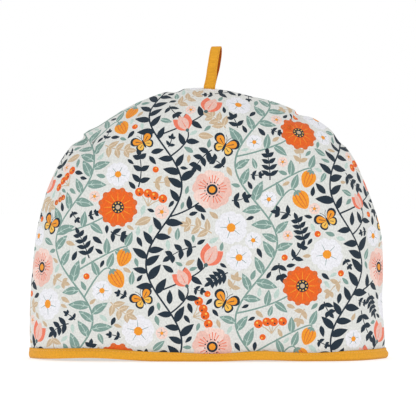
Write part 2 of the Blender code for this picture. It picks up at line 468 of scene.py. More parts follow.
class Cloth:
    """The flat cloth of one panel and the way it lies on the form."""

    RAYS = 321
    STEPS = 160
    WIDTHS = 129
    ROW_STEP = 0.87  # nearly even triangles
    EDGE_MARGIN = 0.45
    SHARE_POWER = 1.5  # closer steps near the seam
    NORMAL_STEP = 0.0005

    def __init__(self, form: CosyForm, side: Side) -> None:
        """Measures the panel along its surface.

        Args:
            form: the stuffed form.
            side: the panel.
        """
        self.form = form
        self.side = side
        self.dents: Dents | None = None
        self.arches = np.linspace(0, form.arch_length, self.RAYS)
        shares = np.linspace(0, 1, self.STEPS) ** self.SHARE_POWER
        grid_arch, grid_share = np.meshgrid(self.arches, shares, indexing="ij")
        plain = form.point(self._own_arch(grid_arch), grid_share, 0.0, side)
        steps = np.linalg.norm(np.diff(plain, axis=1), axis=2)
        run = np.concatenate([np.zeros((self.RAYS, 1)), np.cumsum(steps, axis=1)], axis=1)
        self.lengths = run[:, -1]
        self.widths = np.linspace(0, 1, self.WIDTHS)
        self.shares = np.array([np.interp(self.widths, r / r[-1], shares) for r in run])

    def _own_arch(self, arch: Array) -> Array:
        """The back's arch runs the other way, because it is seen from behind."""
        return arch if self.side is Side.FRONT else self.form.arch_length - arch

    def rim(self, u: Array, v: Array) -> tuple[Array, Array, Array]:
        """Where points of the flat cloth lie between seam and middle.

        Args:
            u: places across, in metres.
            v: places up, in metres.

        Returns:
            (arch place, 0 at the seam to 1 at the middle, distance from the seam).
        """
        form = self.form
        up = v - form.arch_height
        angle = np.arctan2(np.maximum(up, 0.0), u)
        fan = form.arch_height + (math.pi - angle) * form.fan_radius
        level = np.where(u < 0, v, form.arch_length - v)
        arch = np.where(up > 0, fan, level)
        out = np.where(up > 0, np.hypot(u, up), np.abs(u))
        length = np.interp(arch, self.arches, self.lengths)
        return arch, np.clip(1 - out / length, 0.0, 1.0), np.maximum(length - out, 0.0)

    def share(self, arch: Array, width: Array) -> Array:
        """Reads the share along a ray from the distance along the cloth.

        Args:
            arch: arch places.
            width: 0 at the seam to 1 at the middle, measured on the cloth.

        Returns:
            The shares that CosyForm.point takes.
        """
        a = np.clip(arch / self.form.arch_length, 0, 1) * (self.RAYS - 1)
        w = np.clip(width, 0, 1) * (self.WIDTHS - 1)
        i = np.minimum(a.astype(int), self.RAYS - 2)
        j = np.minimum(w.astype(int), self.WIDTHS - 2)
        fa, fw = a - i, w - j
        low = self.shares[i, j] * (1 - fw) + self.shares[i, j + 1] * fw
        high = self.shares[i + 1, j] * (1 - fw) + self.shares[i + 1, j + 1] * fw
        return low * (1 - fa) + high * fa

    def plain(self, u: Array, v: Array, inset: Array | float = 0.0) -> Array:
        """Points of the smooth panel.

        Args:
            u: places across the flat cloth, in metres.
            v: places up it.
            inset: distance inside the outer face.

        Returns:
            The points, one a row.
        """
        arch, width, _ = self.rim(u, v)
        share = self.share(arch, width)
        return self.form.point(self._own_arch(arch), share, inset, self.side)

    def relief(self, u: Array, v: Array) -> Array:
        """How far the real cloth stands out of the smooth panel.

        Args:
            u: places across the flat cloth, in metres.
            v: places up it.

        Returns:
            The heights.
        """
        arch, _, from_seam = self.rim(u, v)
        r = RELIEF
        phase = 0.0 if self.side is Side.FRONT else r.back_phase
        wave = sum(
            ripple.height * np.sin(ripple.across * u + ripple.up * v + ripple.start + phase)
            for ripple in RIPPLES
        )
        wave = wave * eased(from_seam / r.ripple_from_seam)
        wave = wave * eased((v - r.ripple_foot) / r.ripple_from_hem)
        drift = r.gather_drift * np.sin(arch * math.tau / r.gather_drift_pitch + phase)
        gather = np.sin(arch * math.tau / r.gather_pitch + drift)
        change = np.sin(arch * math.tau / r.gather_change_pitch)
        gather = gather * (1 - r.gather_change + r.gather_change * change)
        near_seam = np.exp(-from_seam / r.gather_reach) * eased(from_seam / r.gather_start)
        wave = wave + r.gather_height * gather * near_seam
        own = self._own_arch(arch)
        inside = eased(from_seam / r.seam_margin)
        for pucker in PUCKERS:
            place, _ = self.form.arch_and_reach(pucker.x, pucker.z)
            away = own - place
            valley = pucker.dip(away) - r.pucker_lip * pucker.dip(away, r.pucker_lip_width)
            fade = inside * np.exp(-from_seam / r.pucker_reach)
            wave = wave - r.pucker_height * pucker.depth * valley * fade
        if self.dents:
            wave = wave + self.dents.at(u, v) * inside
        pressed = 1 - eased((v - r.press_top) / r.press_fade)
        drift = r.tuck_drift * np.sin(u * math.tau / r.tuck_drift_pitch)
        tucks = np.sin(u * math.tau / r.tuck_pitch + drift)
        near_hem = np.exp(-np.maximum(v - r.tuck_foot, 0) / r.tuck_reach)
        return wave - r.press_depth * pressed + r.tuck_height * tucks * near_hem

    def normals(self, place: Callable[[Array, Array], Array], u: Array, v: Array) -> Array:
        """Outward directions of a surface over the flat cloth.

        Args:
            place: gives the surface's points.
            u: places across the flat cloth, in metres.
            v: places up it.

        Returns:
            Unit vectors, one a row.
        """
        step = self.NORMAL_STEP
        along = place(u + step, v) - place(u - step, v)
        up = place(u, v + step) - place(u, v - step)
        found = np.cross(along, up)
        return found / np.maximum(np.linalg.norm(found, axis=-1, keepdims=True), 1e-12)

    def face(self, u: Array, v: Array) -> Array:
        """Points of the panel's outer face, with its waves and puckers."""
        out = self.normals(self.plain, u, v)
        return self.plain(u, v) + out * self.relief(u, v)[..., None]

    def lining(self, u: Array, v: Array) -> Array:
        """Points of the panel's inner face, as face gives the outer one's."""
        return self.plain(u, v, self.form.thickness(v))

    def outline(self, foot: float, spacing: float) -> Array:
        """The cut edge of the flat panel, anticlockwise from the left end of the hem.

        Args:
            foot: height of its straight lower edge.
            spacing: distance between points.

        Returns:
            The outline, one point a row.
        """
        length = self.form.arch_length
        arches = np.linspace(length - foot, foot, int((length - 2 * foot) / spacing) + 1)
        level, along_x, along_z = self.form.ray(arches)
        reach = np.interp(arches, self.arches, self.lengths)
        seam = np.stack([reach * along_x, level + reach * along_z], axis=1)
        left, right = seam[-1, 0], seam[0, 0]
        across = np.linspace(left, right, int((right - left) / spacing) + 1)[1:-1]
        hem = np.stack([across, np.full(len(across), foot)], axis=1)
        return np.concatenate([hem, seam])

    def inner_points(self, rim: Array, spacing: float) -> Array:
        """Even points inside a cut edge, so that flat places still follow the form.

        Args:
            rim: the cut edge.
            spacing: distance between points.

        Returns:
            The points, one a row.
        """
        low, high = rim.min(axis=0), rim.max(axis=0)
        columns = np.arange(low[0], high[0], spacing)
        rows = np.arange(low[1] + spacing, high[1], spacing * self.ROW_STEP)
        u, v = np.meshgrid(columns, rows)
        u[1::2] += spacing / 2
        _, _, from_seam = self.rim(u, v)
        margin = spacing * self.EDGE_MARGIN
        inside = (from_seam > margin) & (v > low[1] + margin)
        return np.stack([u[inside], v[inside]], axis=1)


TRIANGLES_INSIDE = 1  # the cut keeps only what lies inside an outline
FILL_PRECISION = 1e-6
PRINT_PRECISION = 1e-3


def fill_outline(rim: Array, inner: Array) -> tuple[Array, list[tuple[int, ...]]]:
    """Fills a closed outline with triangles.

    Args:
        rim: the outline, anticlockwise, in metres.
        inner: points inside it.

    Returns:
        (points with the outline's first, triangles).
    """
    every = [Vector(p) for p in (np.concatenate([rim, inner]) / MM).tolist()]
    whole = [list(range(len(rim)))]
    found = delaunay_2d_cdt(every, [], whole, TRIANGLES_INSIDE, FILL_PRECISION, True)
    flat = np.array([p[:] for p in found[0]]) * MM
    origin = [min(own) if own else -1 for own in found[3]]
    order = {old: new for new, old in enumerate(origin) if old >= 0}
    ranked = [order[i] for i in range(len(rim))]
    taken = set(ranked)
    ranked += [i for i in range(len(flat)) if i not in taken]
    place = {old: new for new, old in enumerate(ranked)}
    kept = [face for face, within in zip(found[2], found[5]) if 0 in within]
    return flat[ranked], [tuple(place[i] for i in face) for face in kept]


@dataclass(frozen=True)
class Settling:
    """How the padded cloth settles between its seam and its hem, by a cloth simulation."""

    hem: float = 0.0085
    spacing: float = 0.006
    frames: int = 20
    pressure: float = 6.0
    spare: float = 0.012  # how much longer the cloth is than the form under it
    quality: int = 6
    mass: float = 0.05
    stiffness: float = 40.0
    shear: float = 0.3
    bending: float = 2.0
    damping: float = 15.0
    bending_damping: float = 2.0
    lattice: float = 0.004
    fine: float = 0.0035
    coarse: float = 0.024
    kept: float = 0.32
    most: float = 0.0009
    least_weight: float = 1e-3  # lets heights fade out far from the cloth

    def dents(self, cloth: Cloth) -> Dents:
        """Lets one panel's cloth swell between its sewn edges.

        Args:
            cloth: the panel's cloth.

        Returns:
            The dents and swellings that it settles into, without its overall bulge.
        """
        rim = cloth.outline(self.hem, self.spacing)
        flat, faces = fill_outline(rim, cloth.inner_points(rim, self.spacing))
        u, v = flat.T
        start = cloth.plain(u, v)
        obj = add_piece("settling", start, faces, bpy.data.materials.new("settling"))
        sewn = obj.vertex_groups.new(name="sewn")
        sewn.add(list(range(len(rim))), 1.0, "REPLACE")
        self._simulate(obj, sewn.name)
        graph = bpy.context.evaluated_depsgraph_get()
        settled = np.empty(len(start) * 3, np.float32)
        obj.evaluated_get(graph).data.vertices.foreach_get("co", settled)
        bpy.context.scene.frame_set(1)
        mesh = obj.data
        bpy.data.objects.remove(obj)
        bpy.data.meshes.remove(mesh)
        out = cloth.normals(cloth.plain, u, v)
        moved = ((settled.reshape(-1, 3) - start) * out).sum(axis=1)
        LOG.info("%s settled by up to %.1f mm", cloth.side.name, np.abs(moved).max() / MM)
        left, low = rim.min(axis=0) - 2 * self.lattice
        right, high = rim.max(axis=0) + 2 * self.lattice
        xs, ys = np.arange(left, right, self.lattice), np.arange(low, high, self.lattice)
        heights = self._spread(flat, moved, xs, ys, self.fine)
        heights -= self._spread(flat, moved, xs, ys, self.coarse)
        return Dents(left, low, self.lattice, self.most * np.tanh(heights * self.kept / self.most))

    def _simulate(self, obj: bpy.types.Object, sewn: str) -> None:
        """Runs the simulation on an open mesh that is held by its sewn points.

        Args:
            obj: the mesh, as it starts.
            sewn: the vertex group that stays where it is.
        """
        modifier = obj.modifiers.new("settling", "CLOTH")
        cloth = modifier.settings
        cloth.quality = self.quality
        cloth.mass = self.mass
        cloth.tension_stiffness = cloth.compression_stiffness = self.stiffness
        cloth.shear_stiffness = self.stiffness * self.shear
        cloth.bending_stiffness = self.bending
        cloth.tension_damping = cloth.compression_damping = self.damping
        cloth.shear_damping = self.damping
        cloth.bending_damping = self.bending_damping
        cloth.shrink_min = -self.spare
        cloth.use_pressure = True
        cloth.uniform_pressure_force = self.pressure
        cloth.vertex_group_mass = sewn
        cloth.effector_weights.gravity = 0.0
        modifier.collision_settings.use_collision = False
        modifier.point_cache.frame_start = 1
        modifier.point_cache.frame_end = self.frames
        for step in range(1, self.frames + 1):
            bpy.context.scene.frame_set(step)

    def _spread(self, flat: Array, moved: Array, xs: Array, ys: Array, blur: float) -> Array:
        """Averages scattered heights onto a lattice.

        Args:
            flat: where the heights are.
            moved: the heights.
            xs: the lattice's columns.
            ys: its rows.
            blur: how far each height reaches.

        Returns:
            A height for each row and column.
        """
        near_x = np.exp(-((xs[:, None] - flat[:, 0]) ** 2) / (2 * blur**2))
        near_y = np.exp(-((ys[:, None] - flat[:, 1]) ** 2) / (2 * blur**2))
        return (near_y * moved) @ near_x.T / (near_y @ near_x.T + self.least_weight)


@dataclass(frozen=True)
class Patch:
    """One printed shape: its outline in millimetres and its ink."""

    outline: Array
    ink: Ink

    def placed(self, x: float, y: float, turn: float, size: float = 1.0) -> "Patch":
        """The shape resized, turned anticlockwise in radians, then moved by x and y."""
        c, s = math.cos(turn) * size, math.sin(turn) * size
        return Patch(self.outline @ np.array([[c, s], [-s, c]]) + (x, y), self.ink)


Motif = list[Patch]


def placed(motif: Motif, x: float, y: float, turn: float, size: float = 1.0) -> Motif:
    """A whole motif somewhere else, as Patch.placed moves a shape."""
    return [patch.placed(x, y, turn, size) for patch in motif]


def turned(motif: Motif, count: int, start: float = 0.0) -> Motif:
    """Even copies of a motif round its foot, from one turned by a share of a step."""
    step = math.tau / count
    return [patch for i in range(count) for patch in placed(motif, 0, 0, (i + start) * step)]


def disc(radius: float, steps: int = 10, x: float = 0.0, y: float = 0.0) -> Array:
    """Outline of a round dot about (x, y), with as many points as steps."""
    a = np.linspace(0, math.tau, steps, endpoint=False)
    return np.stack([x + radius * np.cos(a), y + radius * np.sin(a)], axis=1)


def dots(count: int, radius: float, far: float, ink: Ink) -> Motif:
    """A ring of small dots of one radius, far from the ring's middle."""
    angles = (i * math.tau / count for i in range(count))
    return [Patch(disc(radius, 6, far * math.cos(a), far * math.sin(a)), ink) for a in angles]


def ribbon(line: Iterable, start: float, end: float) -> Array:
    """Outline of a stroke along a line.

    Args:
        line: the points that it follows.
        start: its width at the first of them.
        end: its width at the last.

    Returns:
        The outline.
    """
    points = np.asarray(line, float)
    along = np.gradient(points, axis=0)
    along /= np.linalg.norm(along, axis=1)[:, None] + 1e-9
    half = np.linspace(start, end, len(points))[:, None] / 2
    across = np.stack([-along[:, 1], along[:, 0]], axis=1) * half
    return np.concatenate([points - across, (points + across)[::-1]])


def blade(length: float, width: float, bend: float = 0.0, full: float = 0.8) -> Array:
    """Outline of a pointed leaf that grows along +x.

    Args:
        length: from stalk to tip.
        width: at its widest.
        bend: sideways sweep of the tip, as a share of the length.
        full: under 1 for a leaf that is widest past its middle.

    Returns:
        The outline, with its tip at the middle of the list.
    """
    s = np.linspace(0, 1, 9)
    half = width / 2 * np.abs(np.sin(np.pi * s**full)) ** 0.9
    half[0] = half[-1] = 0
    middle = bend * length * s * s
    lower = np.stack([s * length, middle - half], axis=1)
    upper = np.stack([s * length, middle + half], axis=1)
    return np.concatenate([lower, upper[-2:0:-1]])


def petal(length: float, width: float, notch: float = 0.0, narrow: float = 0.5) -> Array:
    """Outline of a rounded petal that grows along +x.

    Args:
        length: from the flower's middle to the tip.
        width: at its widest.
        notch: depth of the dip in its tip, as a share of the length.
        narrow: higher for a petal that is slimmer at its foot.

    Returns:
        The outline.
    """
    a = np.linspace(-math.pi, math.pi, 16, endpoint=False)
    along = 0.5 * (1 + np.cos(a))
    x = length * (along - notch * np.exp(-((a / 0.38) ** 2)))
    y = width * 0.675 * np.sin(a) * along**narrow
    return np.stack([x, y], axis=1)


@dataclass(frozen=True)
class Leaf:
    """A leaf with a lighter middle vein and, where it is broad, side veins."""

    length: float
    width: float
    ink: Ink
    vein: Ink | None = None
    bend: float = 0.0
    side_veins: int = 0

    def patches(self) -> Motif:
        """Draws the leaf.

        Returns:
            Its shapes, growing along +x.
        """
        out = [Patch(blade(self.length, self.width, self.bend), self.ink)]
        if self.vein:
            s = np.linspace(0.02, 0.86, 5)
            line = np.stack([s * self.length, self.bend * self.length * s * s], axis=1)
            out.append(Patch(ribbon(line, 0.9, 0.35), self.vein))
        for i in range(self.side_veins):
            at = 0.22 + 0.5 * i / max(self.side_veins - 1, 1)
            foot = (at * self.length, self.bend * self.length * at * at)
            for side in (1, -1):
                tip = (foot[0] + 0.15 * self.length, foot[1] + side * self.width * 0.3)
                out.append(Patch(ribbon((foot, tip), 0.7, 0.3), self.vein))
        return out


@dataclass(frozen=True)
class Sprig:
    """A curved stalk with pairs of leaves and one at its tip."""

    length: float
    pairs: int
    leaf_length: float
    leaf_width: float
    ink: Ink
    vein: Ink | None = None
    curve: float = 0.25

    def patches(self) -> Motif:
        """Draws the sprig.

        Returns:
            Its shapes, growing along +x.
        """
        s = np.linspace(0, 1, 7)
        line = np.stack([self.length * s, self.curve * self.length * s * s], axis=1)
        out = [Patch(ribbon(line, 1.3, 0.7), self.ink)]
        for i in range(self.pairs):
            at = 0.16 + 0.74 * i / max(self.pairs - 1, 1)
            place = (self.length * at, self.curve * self.length * at * at)
            slope = math.atan(2 * self.curve * at)
            for side in (1, -1):
                size = self.leaf_length * (1.05 - 0.35 * at)
                one = Leaf(size, self.leaf_width, self.ink, self.vein, bend=side * 0.12)
                out += placed(one.patches(), *place, slope + side * 0.85)
        tip = Leaf(self.leaf_length * 0.8, self.leaf_width * 0.9, self.ink, self.vein)
        end = (self.length, self.curve * self.length)
        return out + placed(tip.patches(), *end, math.atan(2 * self.curve))


@dataclass(frozen=True)
class OpenRose:
    """A wide flower of five notched petals with a ring of stamens."""

    radius: float = 19.5
    petals: tuple[Ink, ...] = (Ink.PINK, Ink.BLUSH, Ink.PINK, Ink.BLUSH, Ink.PINK)

    def patches(self) -> Motif:
        """Draws the flower.

        Returns:
            Its shapes about its middle.
        """
        out: Motif = []
        for i, ink in enumerate(self.petals):
            shapes = [Patch(petal(self.radius, self.radius, notch=0.1), ink)]
            for lean in (-0.34, -0.11, 0.11, 0.34):
                far = self.radius * (0.74 - 0.3 * abs(lean))
                line = [(6 * math.cos(lean), 6 * math.sin(lean))]
                line.append((far * math.cos(lean * 1.1), far * math.sin(lean * 1.1)))
                shapes.append(Patch(ribbon(line, 0.5, 1.0), Ink.CORAL))
            out += placed(shapes, 0, 0, i * math.tau / len(self.petals))
        out += [Patch(disc(5.2, 14), Ink.NAVY), Patch(disc(3.2, 10), Ink.AMBER)]
        return out + dots(12, 0.75, 6.9, Ink.NAVY)


@dataclass(frozen=True)
class Marigold:
    """A full round flower with two rows of narrow petals."""

    radius: float = 19.0
    petals: int = 12

    def patches(self) -> Motif:
        """Draws the flower.

        Returns:
            Its shapes about its middle.
        """
        back = Patch(petal(self.radius, 7.6, narrow=0.45), Ink.BERRY)
        front = Patch(petal(self.radius * 0.93, 7.4, notch=0.05, narrow=0.45), Ink.ORANGE)
        line = Patch(ribbon([(6.5, 0), (13.5, 0)], 0.9, 0.3), Ink.AMBER)
        out = turned([back], self.petals, 0.5) + turned([front, line], self.petals)
        out.append(Patch(disc(5.8, 14), Ink.NAVY))
        out += dots(9, 0.8, 4.3, Ink.GOLD)
        return [*out, Patch(disc(2.2, 8), Ink.TAN)]


@dataclass(frozen=True)
class Tulip:
    """A cup of three petals seen from the side."""

    length: float = 20.0

    def patches(self) -> Motif:
        """Draws the flower.

        Returns:
            Its shapes, opening along +x from its stalk.
        """
        out: Motif = []
        for lean, ink, line in (
            (0.42, Ink.CORAL, Ink.BERRY),
            (-0.42, Ink.CORAL, Ink.BERRY),
            (0.0, Ink.PINK, Ink.CORAL),
        ):
            shape = Patch(blade(self.length, 11.5, full=0.95), ink)
            vein = Patch(ribbon([(4, 0), (14, 0)], 0.9, 0.3), line)
            out += placed([shape, vein], 0, 0, lean)
        out.append(Patch(disc(2.0, 8), Ink.SLATE))
        return out


@dataclass(frozen=True)
class LanternPod:
    """A papery seed pod with ribs and a small leafy cap."""

    length: float = 17.5

    def patches(self) -> Motif:
        """Draws the pod.

        Returns:
            Its shapes, hanging along +x from its stalk.
        """
        a = np.linspace(0, math.tau, 20, endpoint=False)
        along = 0.5 * (1 - np.cos(a))
        y = -7.8 * np.sin(a) * (1 - 0.42 * along**2)
        out = [Patch(np.stack([self.length * along, y], axis=1), Ink.AMBER)]
        s = np.linspace(0.06, 0.92, 6)
        for rib in (-3.6, 0.0, 3.6):
            arc = rib * np.sqrt(np.clip(4 * s * (1 - s), 0, 1)) * (1 - 0.3 * s)
            line = np.stack([self.length * s, arc], axis=1)
            out.append(Patch(ribbon(line, 0.9, 0.5), Ink.BERRY))
        for lean in (-0.9, 0.0, 0.9):
            out += placed([Patch(blade(5, 2.4), Ink.SAGE)], -0.4, 0, lean)
        return out


@dataclass(frozen=True)
class Butterfly:
    """A butterfly with its wings spread, flying along +x."""

    span: float = 14.0

    def patches(self) -> Motif:
        """Draws the butterfly.

        Returns:
            Its shapes about its middle.
        """
        out: Motif = []
        wings = ((1.0, 9.5, 0.95, Ink.AMBER), (0.72, 8.5, 2.12, Ink.GOLD))
        for length, width, turn, ink in wings:
            long = self.span * length
            for side in (1, -1):
                wing = [Patch(petal(long, width, narrow=0.55), Ink.NAVY)]
                wing.append(Patch(petal(long * 0.82, width * 0.74, narrow=0.6), ink))
                wing.append(Patch(ribbon([(2, 0), (long * 0.62, 0)], 0.4, 0.8), Ink.NAVY))
                out += placed(wing, 0, 0, side * turn)
        out += placed([Patch(blade(11, 2.4), Ink.NAVY)], -6, 0, 0)
        for side in (1, -1):
            feeler = ribbon([(4.5, 0), (8, side * 1.2), (10.5, side * 3.2)], 0.5, 0.5)
            out.append(Patch(feeler, Ink.NAVY))
        return out


@dataclass(frozen=True)
class Blossom:
    """A small flower of five round petals."""

    radius: float
    ink: Ink

    def patches(self) -> Motif:
        """Draws the flower.

        Returns:
            Its shapes about its middle.
        """
        one = Patch(petal(self.radius, self.radius * 0.94, notch=0.06), self.ink)
        vein = ribbon([(0.24 * self.radius, 0), (0.66 * self.radius, 0)], 0.7, 0.3)
        out = turned([one], 5) + turned([Patch(vein, Ink.SAGE)], 5)
        return [*out, Patch(disc(self.radius * 0.27, 8), Ink.AMBER)]


@dataclass(frozen=True)
class Berries:
    """Round berries on a fan of stalks."""

    count: int
    ink: Ink
    stalk: Ink = Ink.TAN
    size: float = 1.0

    def patches(self) -> Motif:
        """Draws the berries.

        Returns:
            Their shapes, growing along +x.
        """
        out: Motif = []
        for i in range(self.count):
            lean = (i - (self.count - 1) / 2) * 0.55
            far = 12 + 2.5 * math.cos(2.2 * i)
            x, y = far * math.cos(lean), far * math.sin(lean)
            out.append(Patch(ribbon([(0, 0), (0.5 * x, 0.4 * y), (x, y)], 0.9, 0.7), self.stalk))
            out.append(Patch(disc(3.9, 12, x, y), self.ink))
            out.append(Patch(disc(1.0, 6, x + 1.2, y + 1.0), Ink.GOLD))
            out.append(Patch(disc(0.8, 6, x - 1.5, y - 0.8), Ink.NAVY))
        return placed(out, 0, 0, 0, self.size)


@dataclass(frozen=True)
class Bead:
    """One round berry with a glint."""

    def patches(self) -> Motif:
        """The berry about its middle."""
        return [Patch(disc(3.1, 10), Ink.ORANGE), Patch(disc(0.9, 6, 0.8, 0.8), Ink.GOLD)]


class Flower(Enum):
    """The large motifs that the repeat is built round."""

    ROSE = OpenRose()
    MARIGOLD = Marigold()
    TULIP = Tulip()
    LANTERN = LanternPod()
    BUTTERFLY = Butterfly()


@dataclass(frozen=True)
class Vine:
    """A stem that winds up the cloth, with leaves on both sides."""

    x: float
    sway: float
    phase: float
    ink: Ink
    vein: Ink | None
    leaf_length: float
    leaf_width: float
    gap: float
    side_veins: int

    def at(self, y: Array | float, repeat: float) -> Array | float:
        """Its place across at a height, where its wave repeats every repeat."""
        return self.x + self.sway * np.sin(math.tau * (y / repeat + self.phase))

    def leaf(self, size: float, bend: float, side_veins: int = 0) -> Leaf:
        """One of its leaves, where a size of 1 is the vine's own."""
        length, width = self.leaf_length * size, self.leaf_width * size
        return Leaf(length, width, self.ink, self.vein, bend, side_veins)


@dataclass(frozen=True)
class Spot:
    """Where a large motif stands in the repeat, and the vine that its stalk leaves."""

    flower: Flower
    x: float
    y: float
    turn: float
    size: float = 1.0
    vine: int | None = None


VINES = (
    Vine(20, 17, 0.00, Ink.NAVY, None, 16, 7.2, 13.5, 0),
    Vine(108, 20, 0.36, Ink.SAGE, Ink.MINT, 19, 8.6, 15.5, 2),
)

SPOTS = (
    Spot(Flower.ROSE, x=66, y=34, turn=10, size=1.02, vine=0),
    Spot(Flower.MARIGOLD, x=152, y=92, turn=0, size=1.02, vine=1),
    Spot(Flower.TULIP, x=60, y=112, turn=62, size=1.05, vine=0),
    Spot(Flower.TULIP, x=42, y=92, turn=118, size=0.9, vine=0),
    Spot(Flower.LANTERN, x=146, y=32, turn=-58, size=1.1, vine=1),
    Spot(Flower.LANTERN, x=161, y=52, turn=-112, size=1.0, vine=1),
    Spot(Flower.BUTTERFLY, x=78, y=76, turn=65, size=1.05),
    Spot(Flower.BUTTERFLY, x=176, y=4, turn=118, size=0.95),
)


class Room:
    """How far each place on the cloth is from the nearest printed shape."""

    CELL = 1.5
    FAR = 18.0
    LEEWAY = 0.6  # how much narrower than the widest a chosen place may be

    def __init__(self, left: float, right: float, top: float) -> None:
        """Starts with bare cloth.

        Args:
            left: its left edge.
            right: its right edge.
            top: its height, from 0.
        """
        self.xs = np.arange(left, right, self.CELL)
        self.ys = np.arange(0.0, top, self.CELL)
        self.free = np.full((len(self.ys), len(self.xs)), self.FAR)

    def take(self, motif: Motif) -> None:
        """Marks the room that a motif's shapes stand in.

        Args:
            motif: the shapes.
        """
        for patch in motif:
            ends = np.roll(patch.outline, -1, axis=0)
            points = np.concatenate([patch.outline, (patch.outline + ends) / 2])
            for x, y in np.vstack([points, patch.outline.mean(axis=0)]):
                j0, j1 = np.searchsorted(self.xs, (x - self.FAR, x + self.FAR))
                i0, i1 = np.searchsorted(self.ys, (y - self.FAR, y + self.FAR))
                if j0 < j1 and i0 < i1:
                    block = self.free[i0:i1, j0:j1]
                    away = np.hypot(self.xs[j0:j1] - x, (self.ys[i0:i1] - y)[:, None])
                    np.minimum(block, away, out=block)

    def at(self, x: float, y: float) -> float:
        """Reads the room left at a place.

        Args:
            x: its place across.
            y: its height.

        Returns:
            The distance to the nearest shape.
        """
        i = int(np.clip(round((y - self.ys[0]) / self.CELL), 0, len(self.ys) - 1))
        j = int(np.clip(round((x - self.xs[0]) / self.CELL), 0, len(self.xs) - 1))
        return float(self.free[i, j])

    def widest(self, rng: np.random.Generator) -> tuple[float, float, float]:
        """The widest bare place, or one nearly as wide.

        Args:
            rng: breaks ties between places.

        Returns:
            (x, y, room there).
        """
        k = int(np.argmax(self.free + rng.random(self.free.shape) * self.LEEWAY))
        i, j = divmod(k, len(self.xs))
        return float(self.xs[j]), float(self.ys[i]), float(self.free[i, j])


